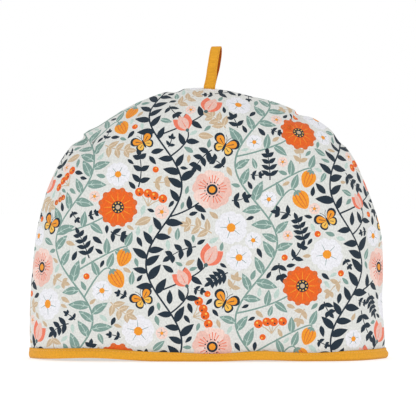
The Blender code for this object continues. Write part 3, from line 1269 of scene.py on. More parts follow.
@dataclass
class FloralPrint:
    """A half-drop floral repeat, filled out by hand-sized motifs wherever cloth is left bare."""

    half_width: float = 200.0
    height: float = 305.0
    repeat_x: float = 176.0
    repeat_y: float = 150.0
    shift_x: float = 0.0
    shift_y: float = 0.0
    seed: int = 3
    overhang: float = 30.0  # how far past the cloth a motif may stand
    stem_width: float = 1.7
    stem_step: float = 3.0
    stem_over: float = 12.0
    stalk_rise: float = 26.0
    stalk_widths: tuple[float, float] = (1.6, 1.2)
    knee_by_foot: tuple[float, float] = (0.35, 0.72)
    knee_by_flower: tuple[float, float] = (0.65, 0.28)
    cup_neck: float = 12.0
    stalk_leaves: tuple[tuple[int, int], ...] = ((3, 1), (4, -1), (6, 1))  # step and side
    stalk_leaf_lean: float = 0.9
    stalk_leaf_size: float = 0.82
    stalk_leaf_bend: float = 0.15
    stalk_leaf_room: float = 1.5
    leaf_over: float = 10.0
    leaf_lean: float = 0.75
    leaf_lean_spread: float = 0.2
    leaf_size: float = 0.85
    leaf_size_spread: float = 0.3
    leaf_bend: float = 0.18
    leaf_room: float = 2.5
    smallest: float = 3.9
    small: float = 5.6
    medium: float = 8.0
    large: float = 11.5
    room: Room = field(init=False)
    rng: np.random.Generator = field(init=False)

    def patches(self) -> Motif:
        """Draws the whole cloth.

        Returns:
            The printed shapes, the lowest first.
        """
        self.rng = np.random.default_rng(self.seed)
        self.room = Room(-self.half_width, self.half_width, self.height)
        stems, leaves, flowers = [], [], []
        vines = []
        first = int((-self.half_width - self.shift_x) // self.repeat_x) - 1
        last = int((self.half_width - self.shift_x) // self.repeat_x) + 1
        for column in range(first, last + 1):
            x = self.shift_x + column * self.repeat_x
            drop = self.shift_y + (self.repeat_y / 2 if column % 2 else 0.0)
            vines += [(vine, x, drop) for vine in VINES]
            stems += self._vine_stems(x, drop)
            for row in range(-2, int(self.height / self.repeat_y) + 2):
                for spot in SPOTS:
                    self._set_flower(spot, x, drop + row * self.repeat_y, stems, leaves, flowers)
        for vine, x, drop in vines:
            leaves += self._vine_leaves(vine, x, drop)
        return stems + self._fillers() + leaves + flowers

    def _vine_stems(self, x: float, drop: float) -> Motif:
        """Draws the winding stems of one column of the repeat.

        Args:
            x: where the column starts.
            drop: how far up it is set off.

        Returns:
            The stems.
        """
        out: Motif = []
        for vine in VINES:
            y = np.arange(-self.stem_over, self.height + self.stem_over, self.stem_step)
            line = np.stack([x + vine.at(y - drop, self.repeat_y), y], axis=1)
            out.append(Patch(ribbon(line, self.stem_width, self.stem_width), vine.ink))
        self.room.take(out)
        return out

    def _inside(self, x: float, y: float, margin: float) -> bool:
        """Whether a place is on the cloth, or within margin of it."""
        return abs(x) < self.half_width + margin and -margin < y < self.height + margin

    def _set_flower(
        self, spot: Spot, x: float, y: float, stems: Motif, leaves: Motif, flowers: Motif
    ) -> None:
        """Adds one large motif with its stalk and the leaves on it.

        Args:
            spot: the motif and its place in the repeat.
            x: where the repeat starts.
            y: where the repeat starts.
            stems: takes its stalk.
            leaves: takes the stalk's leaves.
            flowers: takes the motif.
        """
        place = np.array((x + spot.x, y + spot.y))
        if not self._inside(*place, self.overhang):
            return
        turn = math.radians(spot.turn)
        made = placed(spot.flower.value.patches(), *place, turn, spot.size)
        flowers += made
        self.room.take(made)
        if spot.vine is None:
            return
        vine = VINES[spot.vine]
        foot_y = spot.y - self.stalk_rise
        foot = np.array((x + vine.at(foot_y, self.repeat_y), y + foot_y))
        knee = foot * self.knee_by_foot + place * self.knee_by_flower
        if spot.flower in (Flower.TULIP, Flower.LANTERN):
            knee = place - self.cup_neck * np.array((math.cos(turn), math.sin(turn)))
        t = np.linspace(0, 1, 9)[:, None]
        line = (1 - t) ** 2 * foot + 2 * t * (1 - t) * knee + t * t * place
        stalk = [Patch(ribbon(line, *self.stalk_widths), vine.ink)]
        stems += stalk
        self.room.take(stalk)
        for k, side in self.stalk_leaves:
            along = line[k + 1] - line[k - 1]
            angle = math.atan2(along[1], along[0]) + side * self.stalk_leaf_lean
            leaf = vine.leaf(self.stalk_leaf_size, side * self.stalk_leaf_bend)
            self._add_leaf(leaf, line[k], angle, self.stalk_leaf_room, leaves)

    def _add_leaf(
        self, leaf: Leaf, foot: Array, angle: float, needed: float, leaves: Motif
    ) -> None:
        """Adds a leaf where its tip has room.

        Args:
            leaf: the leaf.
            foot: where it leaves its stem.
            angle: its direction.
            needed: the room that its tip needs.
            leaves: takes it.
        """
        made = placed(leaf.patches(), foot[0], foot[1], angle)
        tip = made[0].outline[len(made[0].outline) // 2]
        if self.room.at(*tip) > needed:
            leaves += made
            self.room.take(made[:1])

    def _vine_leaves(self, vine: Vine, x: float, drop: float) -> Motif:
        """Draws the leaves on one stem, by turns left and right.

        Args:
            vine: the stem's vine.
            x: where its column starts.
            drop: how far up the column is set off.

        Returns:
            The leaves.
        """
        out: Motif = []
        y, side = -self.leaf_over, 1
        while y < self.height + self.leaf_over:
            foot = np.array((x + vine.at(y - drop, self.repeat_y), y))
            lean = vine.at(y - drop + 1, self.repeat_y) - vine.at(y - drop - 1, self.repeat_y)
            open_by = self.leaf_lean + self.leaf_lean_spread * self.rng.random()
            angle = math.atan2(2.0, lean) + side * open_by
            size = self.leaf_size + self.leaf_size_spread * self.rng.random()
            if self._inside(*foot, self.leaf_over):
                leaf = vine.leaf(size, side * self.leaf_bend, vine.side_veins)
                self._add_leaf(leaf, foot, angle, self.leaf_room, out)
            side = -side
            y += vine.gap * 0.5
        return out

    def _fillers(self) -> Motif:
        """Fills the bare places with small motifs, the widest first.

        Returns:
            The motifs.
        """
        out: Motif = []
        while True:
            x, y, free = self.room.widest(self.rng)
            if free < self.smallest:
                return out
            turn = self.rng.random() * math.tau
            made = placed(self._filler(free), x, y, turn)
            out += made
            self.room.take(made)

    def _filler(self, free: float) -> Motif:
        """A motif that fits a bare place.

        Args:
            free: the room from its middle to the nearest shape.

        Returns:
            The motif about its middle.
        """
        if free > self.large:
            long, back = free * 1.6, free * 0.85
            choices = (
                (Sprig(long, 3, 12, 5.8, Ink.TAN, Ink.SAND), back, -2),
                (Berries(4, Ink.ORANGE, size=1.1), 10, 0),
                (Sprig(long, 3, 11, 5.4, Ink.NAVY, curve=0.3), back, -2),
                (Blossom(free * 0.9, Ink.LILAC), 0, 0),
                (Sprig(long, 4, 10, 4.4, Ink.NAVY, curve=0.1), back, 0),
            )
        elif free > self.medium:
            long, back = free * 1.35, free * 0.75
            choices = (
                (Blossom(free * 0.95, Ink.LILAC), 0, 0),
                (Sprig(long, 2, 9, 4.6, Ink.TAN), back, 0),
                (Berries(3, Ink.BERRY, size=free / 11), 9 * free / 11, 0),
                (Sprig(long, 2, 9.5, 4.6, Ink.NAVY), back, 0),
                (Leaf(free * 1.9, free * 0.85, Ink.TAN, Ink.SAND), free * 0.95, 0),
            )
        elif free > self.small:
            long, wide, back = free * 1.9, free * 0.8, free * 0.95
            choices = (
                (Blossom(free * 0.9, Ink.BLUSH), 0, 0),
                (Sprig(free * 1.3, 2, 6, 3.2, Ink.NAVY, curve=0.2), free * 0.8, 0),
                (Leaf(long, wide, Ink.SAGE, Ink.MINT), back, 0),
                (Leaf(long, wide, Ink.NAVY), back, 0),
                (Bead(), 0, 0),
            )
        else:
            long, wide, back = free * 1.95, free * 0.85, free * 0.95
            inks = (Ink.NAVY, Ink.NAVY, Ink.SAGE, Ink.TAN, Ink.MINT)
            choices = tuple((Leaf(long, wide, ink), back, 0) for ink in inks)
        motif, back, up = choices[int(self.rng.random() * len(choices))]
        return placed(motif.patches(), -back, up, 0)


class Shader:
    """Builds a material's nodes, with a short call for each sum."""

    def __init__(self, name: str) -> None:
        """Starts a material with a Principled shader.

        Args:
            name: the material's name.
        """
        self.material = bpy.data.materials.new(name)
        self.material.use_nodes = True
        self.tree = self.material.node_tree
        self.principled = self.tree.nodes["Principled BSDF"]

    def node(self, kind: str, **settings: object) -> bpy.types.Node:
        """Adds a node.

        Args:
            kind: its type.
            **settings: its properties.

        Returns:
            The node.
        """
        made = self.tree.nodes.new(kind)
        for name, value in settings.items():
            setattr(made, name, value)
        return made

    def link(self, source: Socket, target: Socket) -> None:
        """Joins two sockets."""
        self.tree.links.new(source, target)

    def feed(self, target: Socket, value: object) -> None:
        """Gives an input its value.

        Args:
            target: the input.
            value: a socket to link, or a plain value.
        """
        if isinstance(value, Socket):
            self.link(value, target)
        else:
            target.default_value = value

    def math(self, operation: str, *values: object) -> Socket:
        """Adds a sum.

        Args:
            operation: what is done.
            *values: one to three sockets or numbers.

        Returns:
            The socket of the result.
        """
        made = self.node("ShaderNodeMath", operation=operation)
        for socket, value in zip(made.inputs, values):
            self.feed(socket, value)
        return made.outputs[0]

    def set(self, **values: object) -> None:
        """Sets the shader's own inputs, with underscores for the spaces in their names."""
        for name, value in values.items():
            self.principled.inputs[name.replace("_", " ")].default_value = value

    def noise(self, place: Socket, scale: float, detail: float) -> Socket:
        """Adds soft irregular shades from 0 to 1.

        Args:
            place: the coordinates that it reads.
            scale: how fine it is.
            detail: how many finer layers it has.

        Returns:
            The socket of the value.
        """
        made = self.node("ShaderNodeTexNoise")
        made.inputs["Scale"].default_value = scale
        made.inputs["Detail"].default_value = detail
        self.link(place, made.inputs["Vector"])
        return made.outputs["Fac"]

    def stretched(self, place: Socket, scale: tuple[float, float, float]) -> Socket:
        """Scales coordinates by a different number each way.

        Args:
            place: the coordinates.
            scale: the factors.

        Returns:
            The socket of the scaled coordinates.
        """
        made = self.node("ShaderNodeMapping")
        made.inputs["Scale"].default_value = scale
        self.link(place, made.inputs["Vector"])
        return made.outputs["Vector"]

    def tint(self, colour: object, shade: Socket) -> None:
        """Gives the surface its colour.

        Args:
            colour: a socket, or red, green and blue in linear light.
            shade: the socket of the share of it that shows.
        """
        mix = self.node("ShaderNodeVectorMath", operation="SCALE")
        self.feed(mix.inputs[0], colour)
        self.link(shade, mix.inputs["Scale"])
        self.link(mix.outputs[0], self.principled.inputs["Base Color"])

    def bump(self, height: Socket, distance: float) -> None:
        """Gives the surface its small relief.

        Args:
            height: the socket of the heights.
            distance: what a height of 1 stands for, in metres.
        """
        made = self.node("ShaderNodeBump")
        made.inputs["Strength"].default_value = 1.0
        made.inputs["Distance"].default_value = distance
        self.link(height, made.inputs["Height"])
        self.link(made.outputs["Normal"], self.principled.inputs["Normal"])


@dataclass(frozen=True)
class Finish:
    """A plain-woven cotton: how its threads, shine and shades look."""

    name: str
    colour: tuple[int, int, int]
    uv_map: str
    uv_span: float
    thread_pitch: float = 0.00046
    weave_height: float = 0.00006
    mottle: float = 0.05
    mottle_scale: float = 34.0
    # painted shade between the threads
    weave_shade: float = 0.05
    fleck: float = 0.20
    fleck_scale: tuple[float, float, float] = (1300.0, 560.0, 1.0)
    grain: float = 0.45
    grain_scale: tuple[float, float, float] = (620.0, 480.0, 1.0)
    slub: float = 0.9
    slub_scale: tuple[float, float, float] = (900.0, 260.0, 1.0)
    roughness: float = 0.86
    wear: float = 0.12
    wear_scale: float = 60.0
    sheen: float = 0.10
    sheen_roughness: float = 0.45
    specular: float = 0.25
    ink_attribute: str = ""
    # painted shade near pressed folds: (fold height, height where it ends, share of light left)
    painted_fold_shades: tuple[tuple[float, float, float], ...] = ()

    def material(self) -> bpy.types.Material:
        """Builds the cloth's material from its own map of the cloth.

        Returns:
            The material.
        """
        shader = Shader(self.name)
        cloth = shader.node("ShaderNodeUVMap", uv_map=self.uv_map).outputs["UV"]
        place = shader.stretched(cloth, (self.uv_span,) * 3)
        weave = self._weave(shader, place)
        self._colour(shader, place, weave)
        self._roughness(shader, place)
        slub = shader.noise(shader.stretched(place, self.slub_scale), 1.0, 2.0)
        height = shader.math("ADD", weave, shader.math("MULTIPLY", slub, self.slub))
        shader.bump(height, self.weave_height)
        shader.set(Sheen_Weight=self.sheen, Sheen_Roughness=self.sheen_roughness)
        shader.set(Specular_IOR_Level=self.specular)
        return shader.material

    def _weave(self, shader: Shader, place: Socket) -> Socket:
        """Weaves threads that pass over and under each other.

        Args:
            shader: the material.
            place: the coordinates on the cloth.

        Returns:
            The socket of their height, from 0 to 1.
        """
        parts = shader.node("ShaderNodeSeparateXYZ")
        shader.link(place, parts.inputs[0])
        turns = math.pi / self.thread_pitch
        warp = shader.math("SINE", shader.math("MULTIPLY", parts.outputs["X"], turns))
        weft = shader.math("SINE", shader.math("MULTIPLY", parts.outputs["Y"], turns))
        return shader.math("MULTIPLY_ADD", shader.math("MULTIPLY", warp, weft), 0.5, 0.5)

    def _colour(self, shader: Shader, place: Socket, weave: Socket) -> None:
        """Gives the print or dye, a little uneven, with painted shade between the threads.

        Args:
            shader: the material.
            place: the coordinates on the cloth.
            weave: the socket of the threads' height.
        """
        uneven = shader.noise(place, self.mottle_scale, 3.0)
        fleck = shader.noise(shader.stretched(place, self.fleck_scale), 1.0, 2.0)
        shade = shader.math("MULTIPLY_ADD", uneven, self.mottle, 1.0 - self.mottle * 0.5)
        # painted shade: darker where the weave is low, between the threads
        shade = shader.math("ADD", shade, shader.math("MULTIPLY", weave, self.weave_shade))
        shade = shader.math("ADD", shade, shader.math("MULTIPLY", fleck, self.fleck))
        grain = shader.noise(shader.stretched(place, self.grain_scale), 1.0, 1.0)
        shade = shader.math("ADD", shade, shader.math("MULTIPLY", grain, self.grain))
        shade = shader.math("SUBTRACT", shade, (self.fleck + self.grain) / 2)
        # painted shade along each pressed fold
        for dark_at, plain_at, darkest in self.painted_fold_shades:
            shade = shader.math("MULTIPLY", shade, self._painted_fold_shade(shader, dark_at, plain_at, darkest))
        colour = srgb_to_linear(self.colour)
        if self.ink_attribute:
            ink = shader.node("ShaderNodeAttribute", attribute_name=self.ink_attribute)
            colour = ink.outputs["Color"]
        shader.tint(colour, shade)

    def _painted_fold_shade(self, shader: Shader, dark_at: float, plain_at: float, darkest: float) -> Socket:
        """Painted shade along a pressed fold: the cloth gets darker towards the fold's height.

        Args:
            shader: the material.
            dark_at: the height of the fold.
            plain_at: the height where the darkening ends.
            darkest: the share of light left at the fold.

        Returns:
            The socket of the share of light left.
        """
        parts = shader.node("ShaderNodeSeparateXYZ")
        shader.link(shader.node("ShaderNodeTexCoord").outputs["Object"], parts.inputs[0])
        ramp = shader.node("ShaderNodeMapRange", interpolation_type="SMOOTHSTEP")
        shader.link(parts.outputs["Z"], ramp.inputs["Value"])
        ends = {"From Min": dark_at, "From Max": plain_at, "To Min": darkest, "To Max": 1.0}
        for name, value in ends.items():
            ramp.inputs[name].default_value = value
        return ramp.outputs["Result"]

    def _roughness(self, shader: Shader, place: Socket) -> None:
        """Makes the cloth matt all over, with worn places a touch smoother.

        Args:
            shader: the material.
            place: the coordinates on the cloth.
        """
        worn = shader.noise(place, self.wear_scale, 2.0)
        value = shader.math("MULTIPLY_ADD", worn, self.wear, self.roughness - self.wear / 2)
        shader.link(value, shader.principled.inputs["Roughness"])


PANEL_SPAN = 0.70  # metres of cloth that a panel's map covers each way

PRINTED = Finish(
    name="printed_cotton_look",
    colour=Ink.GROUND.value,
    uv_map="OFBake",
    uv_span=PANEL_SPAN,
    ink_attribute="ink",
)
BOUND = Finish(
    name="amber_binding_look",
    colour=Ink.HONEY.value,
    uv_map="Cloth",
    uv_span=1.0,
    thread_pitch=0.00052,
    weave_height=0.00008,
    mottle=0.10,
    sheen=0.12,
    # painted shade along the strip's lower edge and under its upper fold
    painted_fold_shades=((0.0002, 0.0030, 0.72), (0.0104, 0.0088, 0.86)),
)
# the loop's ink attribute holds painted shade on its inner face
LOOPED = replace(BOUND, name="amber_loop_look", painted_fold_shades=(), ink_attribute="ink")


@dataclass(frozen=True)
class ThreadFinish:
    """Sewing thread with a soft twist."""

    name: str = "amber_thread_look"
    colour: tuple[int, int, int] = (240, 180, 76)
    roughness: float = 0.55
    sheen: float = 0.2
    twist: float = 0.3
    twist_scale: float = 2600.0
    twist_height: float = 0.00008

    def material(self) -> bpy.types.Material:
        """Builds the thread's material.

        Returns:
            The material.
        """
        shader = Shader(self.name)
        place = shader.node("ShaderNodeTexCoord").outputs["Object"]
        twist = shader.noise(place, self.twist_scale, 1.0)
        shade = shader.math("MULTIPLY_ADD", twist, self.twist, 1.0 - self.twist / 2)
        shader.tint(srgb_to_linear(self.colour), shade)
        shader.bump(twist, self.twist_height)
        shader.set(Roughness=self.roughness, Sheen_Weight=self.sheen)
        return shader.material


def add_piece(
    name: str, points: Array, faces: Iterable, material: bpy.types.Material
) -> bpy.types.Object:
    """Makes a smooth mesh object at the origin.

    Args:
        name: its name.
        points: its vertices, one a row.
        faces: lists of vertex numbers.
        material: its finish.

    Returns:
        The object.
    """
    mesh = bpy.data.meshes.new(name)
    mesh.from_pydata(points.tolist(), [], [list(map(int, face)) for face in faces])
    mesh.materials.append(material)
    mesh.shade_smooth()
    obj = bpy.data.objects.new(name, mesh)
    bpy.context.scene.collection.objects.link(obj)
    return obj


def fit_out(obj: bpy.types.Object, slot: Slot, *nodes: str) -> None:
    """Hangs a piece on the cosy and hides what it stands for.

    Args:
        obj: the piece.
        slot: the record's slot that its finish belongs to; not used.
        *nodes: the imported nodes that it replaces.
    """
    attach(obj, BODY)
    if nodes:
        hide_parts(*nodes)
    LOG.info("%s: %d faces", obj.name, len(obj.data.polygons))


@dataclass
class PrintedPanel:
    """One padded panel: printed outside, plain inside, closed at its edges."""

    cloth: Cloth
    node: str
    print_design: FloralPrint
    foot: float = 0.0015
    edge_spacing: float = 0.0022
    weft_spacing: float = 0.0036
    lining_spacing: float = 0.0075
    fill: float = 0.35
    map_left: float = 0.205
    map_foot: float = 0.005
    map_lining_foot: float = 0.345
    map_margin: float = 0.01
    map_edge: tuple[float, float] = (0.985, 0.993)

    def build(self, material: bpy.types.Material) -> bpy.types.Object:
        """Builds the panel and hangs it on the cosy.

        Args:
            material: the printed cotton.

        Returns:
            The panel.
        """
        cloth = self.cloth
        cloth.dents = Settling().dents(cloth)
        rim = cloth.outline(self.foot, self.edge_spacing)
        motifs = self.print_design.patches()
        flat, faces, inks = self._printed(cloth, rim, motifs)
        edge = self._edge_of(faces)
        rim = flat[edge]
        lining_flat, lining_faces = fill_outline(rim, cloth.inner_points(rim, self.lining_spacing))
        u, v = flat.T
        outside = cloth.face(u, v)
        directions = cloth.normals(cloth.face, u, v)
        inner_u, inner_v = lining_flat.T
        inside = cloth.lining(inner_u, inner_v)
        back = -cloth.normals(cloth.lining, inner_u, inner_v)
        points = np.concatenate([outside, inside])
        start = len(outside)
        strip = []
        for k, here in enumerate(edge):
            after = (k + 1) % len(edge)
            strip.append((edge[after], here, start + k, start + after))
        lining = [tuple(start + i for i in reversed(face)) for face in lining_faces]
        obj = add_piece(f"{self.node}_cloth", points, [*faces, *lining, *strip], material)
        colours = inks + [Ink.LINING] * (len(lining) + len(strip))
        self._colour(obj.data, colours)
        self._map(obj.data, flat, lining_flat, len(faces), len(lining))
        obj.data.normals_split_custom_set_from_vertices(np.concatenate([directions, back]).tolist())
        fit_out(obj, Slot.PRINTED, self.node)
        return obj

    def _printed(self, cloth: Cloth, rim: Array, motifs: Motif) -> tuple[Array, list, list[Ink]]:
        """Cuts the flat cloth along every printed shape.

        Args:
            cloth: the panel's cloth.
            rim: its cut edge, in metres.
            motifs: the printed shapes, the lowest first.

        Returns:
            (flat points in metres, triangles, the ink of each).
        """
        rim_mm = rim / MM
        low, high = rim_mm.min(axis=0) - 1, rim_mm.max(axis=0) + 1
        points, outlines, inks = [rim_mm], [list(range(len(rim_mm)))], [Ink.GROUND]
        count = len(rim_mm)
        for patch in motifs:
            if (patch.outline.max(axis=0) < low).any() or (patch.outline.min(axis=0) > high).any():
                continue
            points.append(patch.outline)
            outlines.append(list(range(count, count + len(patch.outline))))
            inks.append(patch.ink)
            count += len(patch.outline)
        points.append(cloth.inner_points(rim, self.weft_spacing) / MM)
        every = [Vector(p) for p in np.concatenate(points).tolist()]
        found = delaunay_2d_cdt(every, [], outlines, TRIANGLES_INSIDE, PRINT_PRECISION, True)
        flat = np.array([p[:] for p in found[0]]) * MM
        faces, shades = [], []
        for face, within in zip(found[2], found[5]):
            if 0 in within:
                faces.append(tuple(face))
                shades.append(inks[max(within)])
        used = np.unique(np.array(faces))
        number = np.full(len(flat), -1)
        number[used] = np.arange(len(used))
        return flat[used], [tuple(number[list(face)]) for face in faces], shades

    def _edge_of(self, faces: list) -> list[int]:
        """The open edge round a set of triangles, in the order of their turn.

        Args:
            faces: triangles that turn anticlockwise.

        Returns:
            Vertex numbers once round.
        """
        runs = {(a, b) for f in faces for a, b in zip(f, (*f[1:], f[0]))}
        after = {a: b for a, b in runs if (b, a) not in runs}
        first = min(after)
        edge = [first]
        while after[edge[-1]] != first:
            edge.append(after[edge[-1]])
        return edge

    def _colour(self, mesh: bpy.types.Mesh, inks: list[Ink]) -> None:
        """Stores each face's ink on its corners.

        Args:
            mesh: the panel's mesh.
            inks: one for each face.
        """
        layer = mesh.color_attributes.new("ink", "FLOAT_COLOR", "CORNER")
        table = {ink: ink.linear() for ink in Ink}
        sides = np.empty(len(mesh.polygons), int)
        mesh.polygons.foreach_get("loop_total", sides)
        colours = np.repeat(np.array([table[ink] for ink in inks]), sides, axis=0)
        layer.data.foreach_set("color", colours.astype(np.float32).ravel())

    def _map(
        self, mesh: bpy.types.Mesh, flat: Array, lining: Array, printed: int, lined: int
    ) -> None:
        """Lays the printed cloth, the lining and the edge out side by side.

        Args:
            mesh: the panel's mesh.
            flat: the printed face's flat points.
            lining: the inner face's flat points.
            printed: how many faces the printed side has.
            lined: how many the lining has.
        """
        outer = (flat + (self.map_left, self.map_foot)) / PANEL_SPAN
        inner = (lining + (self.map_left, self.map_lining_foot)) / PANEL_SPAN
        spots = np.concatenate([outer, inner])
        corners = np.empty(len(mesh.loops), int)
        mesh.loops.foreach_get("vertex_index", corners)
        places = spots[corners]
        starts = np.empty(len(mesh.polygons), int)
        mesh.polygons.foreach_get("loop_start", starts)
        strips = len(mesh.polygons) - printed - lined
        first = starts[printed + lined]
        k, long = np.arange(strips), 1 - 2 * self.map_margin
        left = self.map_margin + long * k / strips
        right = self.map_margin + long * (k + 1) / strips
        band = np.stack([right, left, left, right], axis=1).ravel()
        rise = np.tile(np.repeat(self.map_edge, 2), strips)
        places[first:] = np.stack([band, rise], axis=1)
        layer = mesh.uv_layers.new(name=PRINTED.uv_map)
        layer.data.foreach_set("uv", places.astype(np.float32).ravel())


@dataclass(frozen=True)
class SectionPoint:
    """A point of the binding's folded section: distance inside the form, and height."""

    inset: float
    z: float


BINDING_SECTION = (
    SectionPoint(inset=-0.00030, z=0.0100),
    SectionPoint(inset=-0.00075, z=0.0102),
    SectionPoint(inset=-0.00120, z=0.0101),
    SectionPoint(inset=-0.00155, z=0.0097),
    SectionPoint(inset=-0.00165, z=0.0091),
    SectionPoint(inset=-0.00150, z=0.0086),
    SectionPoint(inset=-0.00132, z=0.0082),
    SectionPoint(inset=-0.00150, z=0.0077),
    SectionPoint(inset=-0.00175, z=0.0069),
    SectionPoint(inset=-0.00190, z=0.0056),
    SectionPoint(inset=-0.00190, z=0.0042),
    SectionPoint(inset=-0.00172, z=0.0028),
    SectionPoint(inset=-0.00125, z=0.0015),
    SectionPoint(inset=-0.00055, z=0.0006),
    SectionPoint(inset=0.00030, z=0.0001),
    SectionPoint(inset=0.00110, z=0.0000),
    SectionPoint(inset=0.00240, z=0.0000),
    SectionPoint(inset=0.00320, z=0.0001),
    SectionPoint(inset=0.00395, z=0.0006),
    SectionPoint(inset=0.00450, z=0.0015),
    SectionPoint(inset=0.00485, z=0.0028),
    SectionPoint(inset=0.00510, z=0.0045),
    SectionPoint(inset=0.00520, z=0.0065),
    SectionPoint(inset=0.00500, z=0.0078),
    SectionPoint(inset=0.00490, z=0.0082),
    SectionPoint(inset=0.00515, z=0.0087),
    SectionPoint(inset=0.00520, z=0.0094),
    SectionPoint(inset=0.00490, z=0.0100),
    SectionPoint(inset=0.00440, z=0.0101),
    SectionPoint(inset=0.00395, z=0.0097),
    SectionPoint(inset=0.00390, z=0.0060),
    SectionPoint(inset=0.00360, z=0.0025),
    SectionPoint(inset=0.00270, z=0.0014),
    SectionPoint(inset=0.00100, z=0.0013),
    SectionPoint(inset=0.00000, z=0.0022),
    SectionPoint(inset=0.00000, z=0.0060),
)


@dataclass(frozen=True)
class HemWidth:
    """The share of its full height that the binding shows at a place along the front."""

    x: float
    share: float


HEM_WIDTHS = (
    HemWidth(x=-0.175, share=1.00),
    HemWidth(x=-0.150, share=1.00),
    HemWidth(x=-0.105, share=0.95),
    HemWidth(x=-0.057, share=0.91),
    HemWidth(x=-0.027, share=0.85),
    HemWidth(x=-0.003, share=0.75),
    HemWidth(x=0.017, share=0.76),
    HemWidth(x=0.035, share=0.84),
    HemWidth(x=0.053, share=0.90),
    HemWidth(x=0.075, share=0.83),
    HemWidth(x=0.100, share=0.81),
    HemWidth(x=0.117, share=0.85),
    HemWidth(x=0.135, share=0.97),
    HemWidth(x=0.175, share=1.00),
)


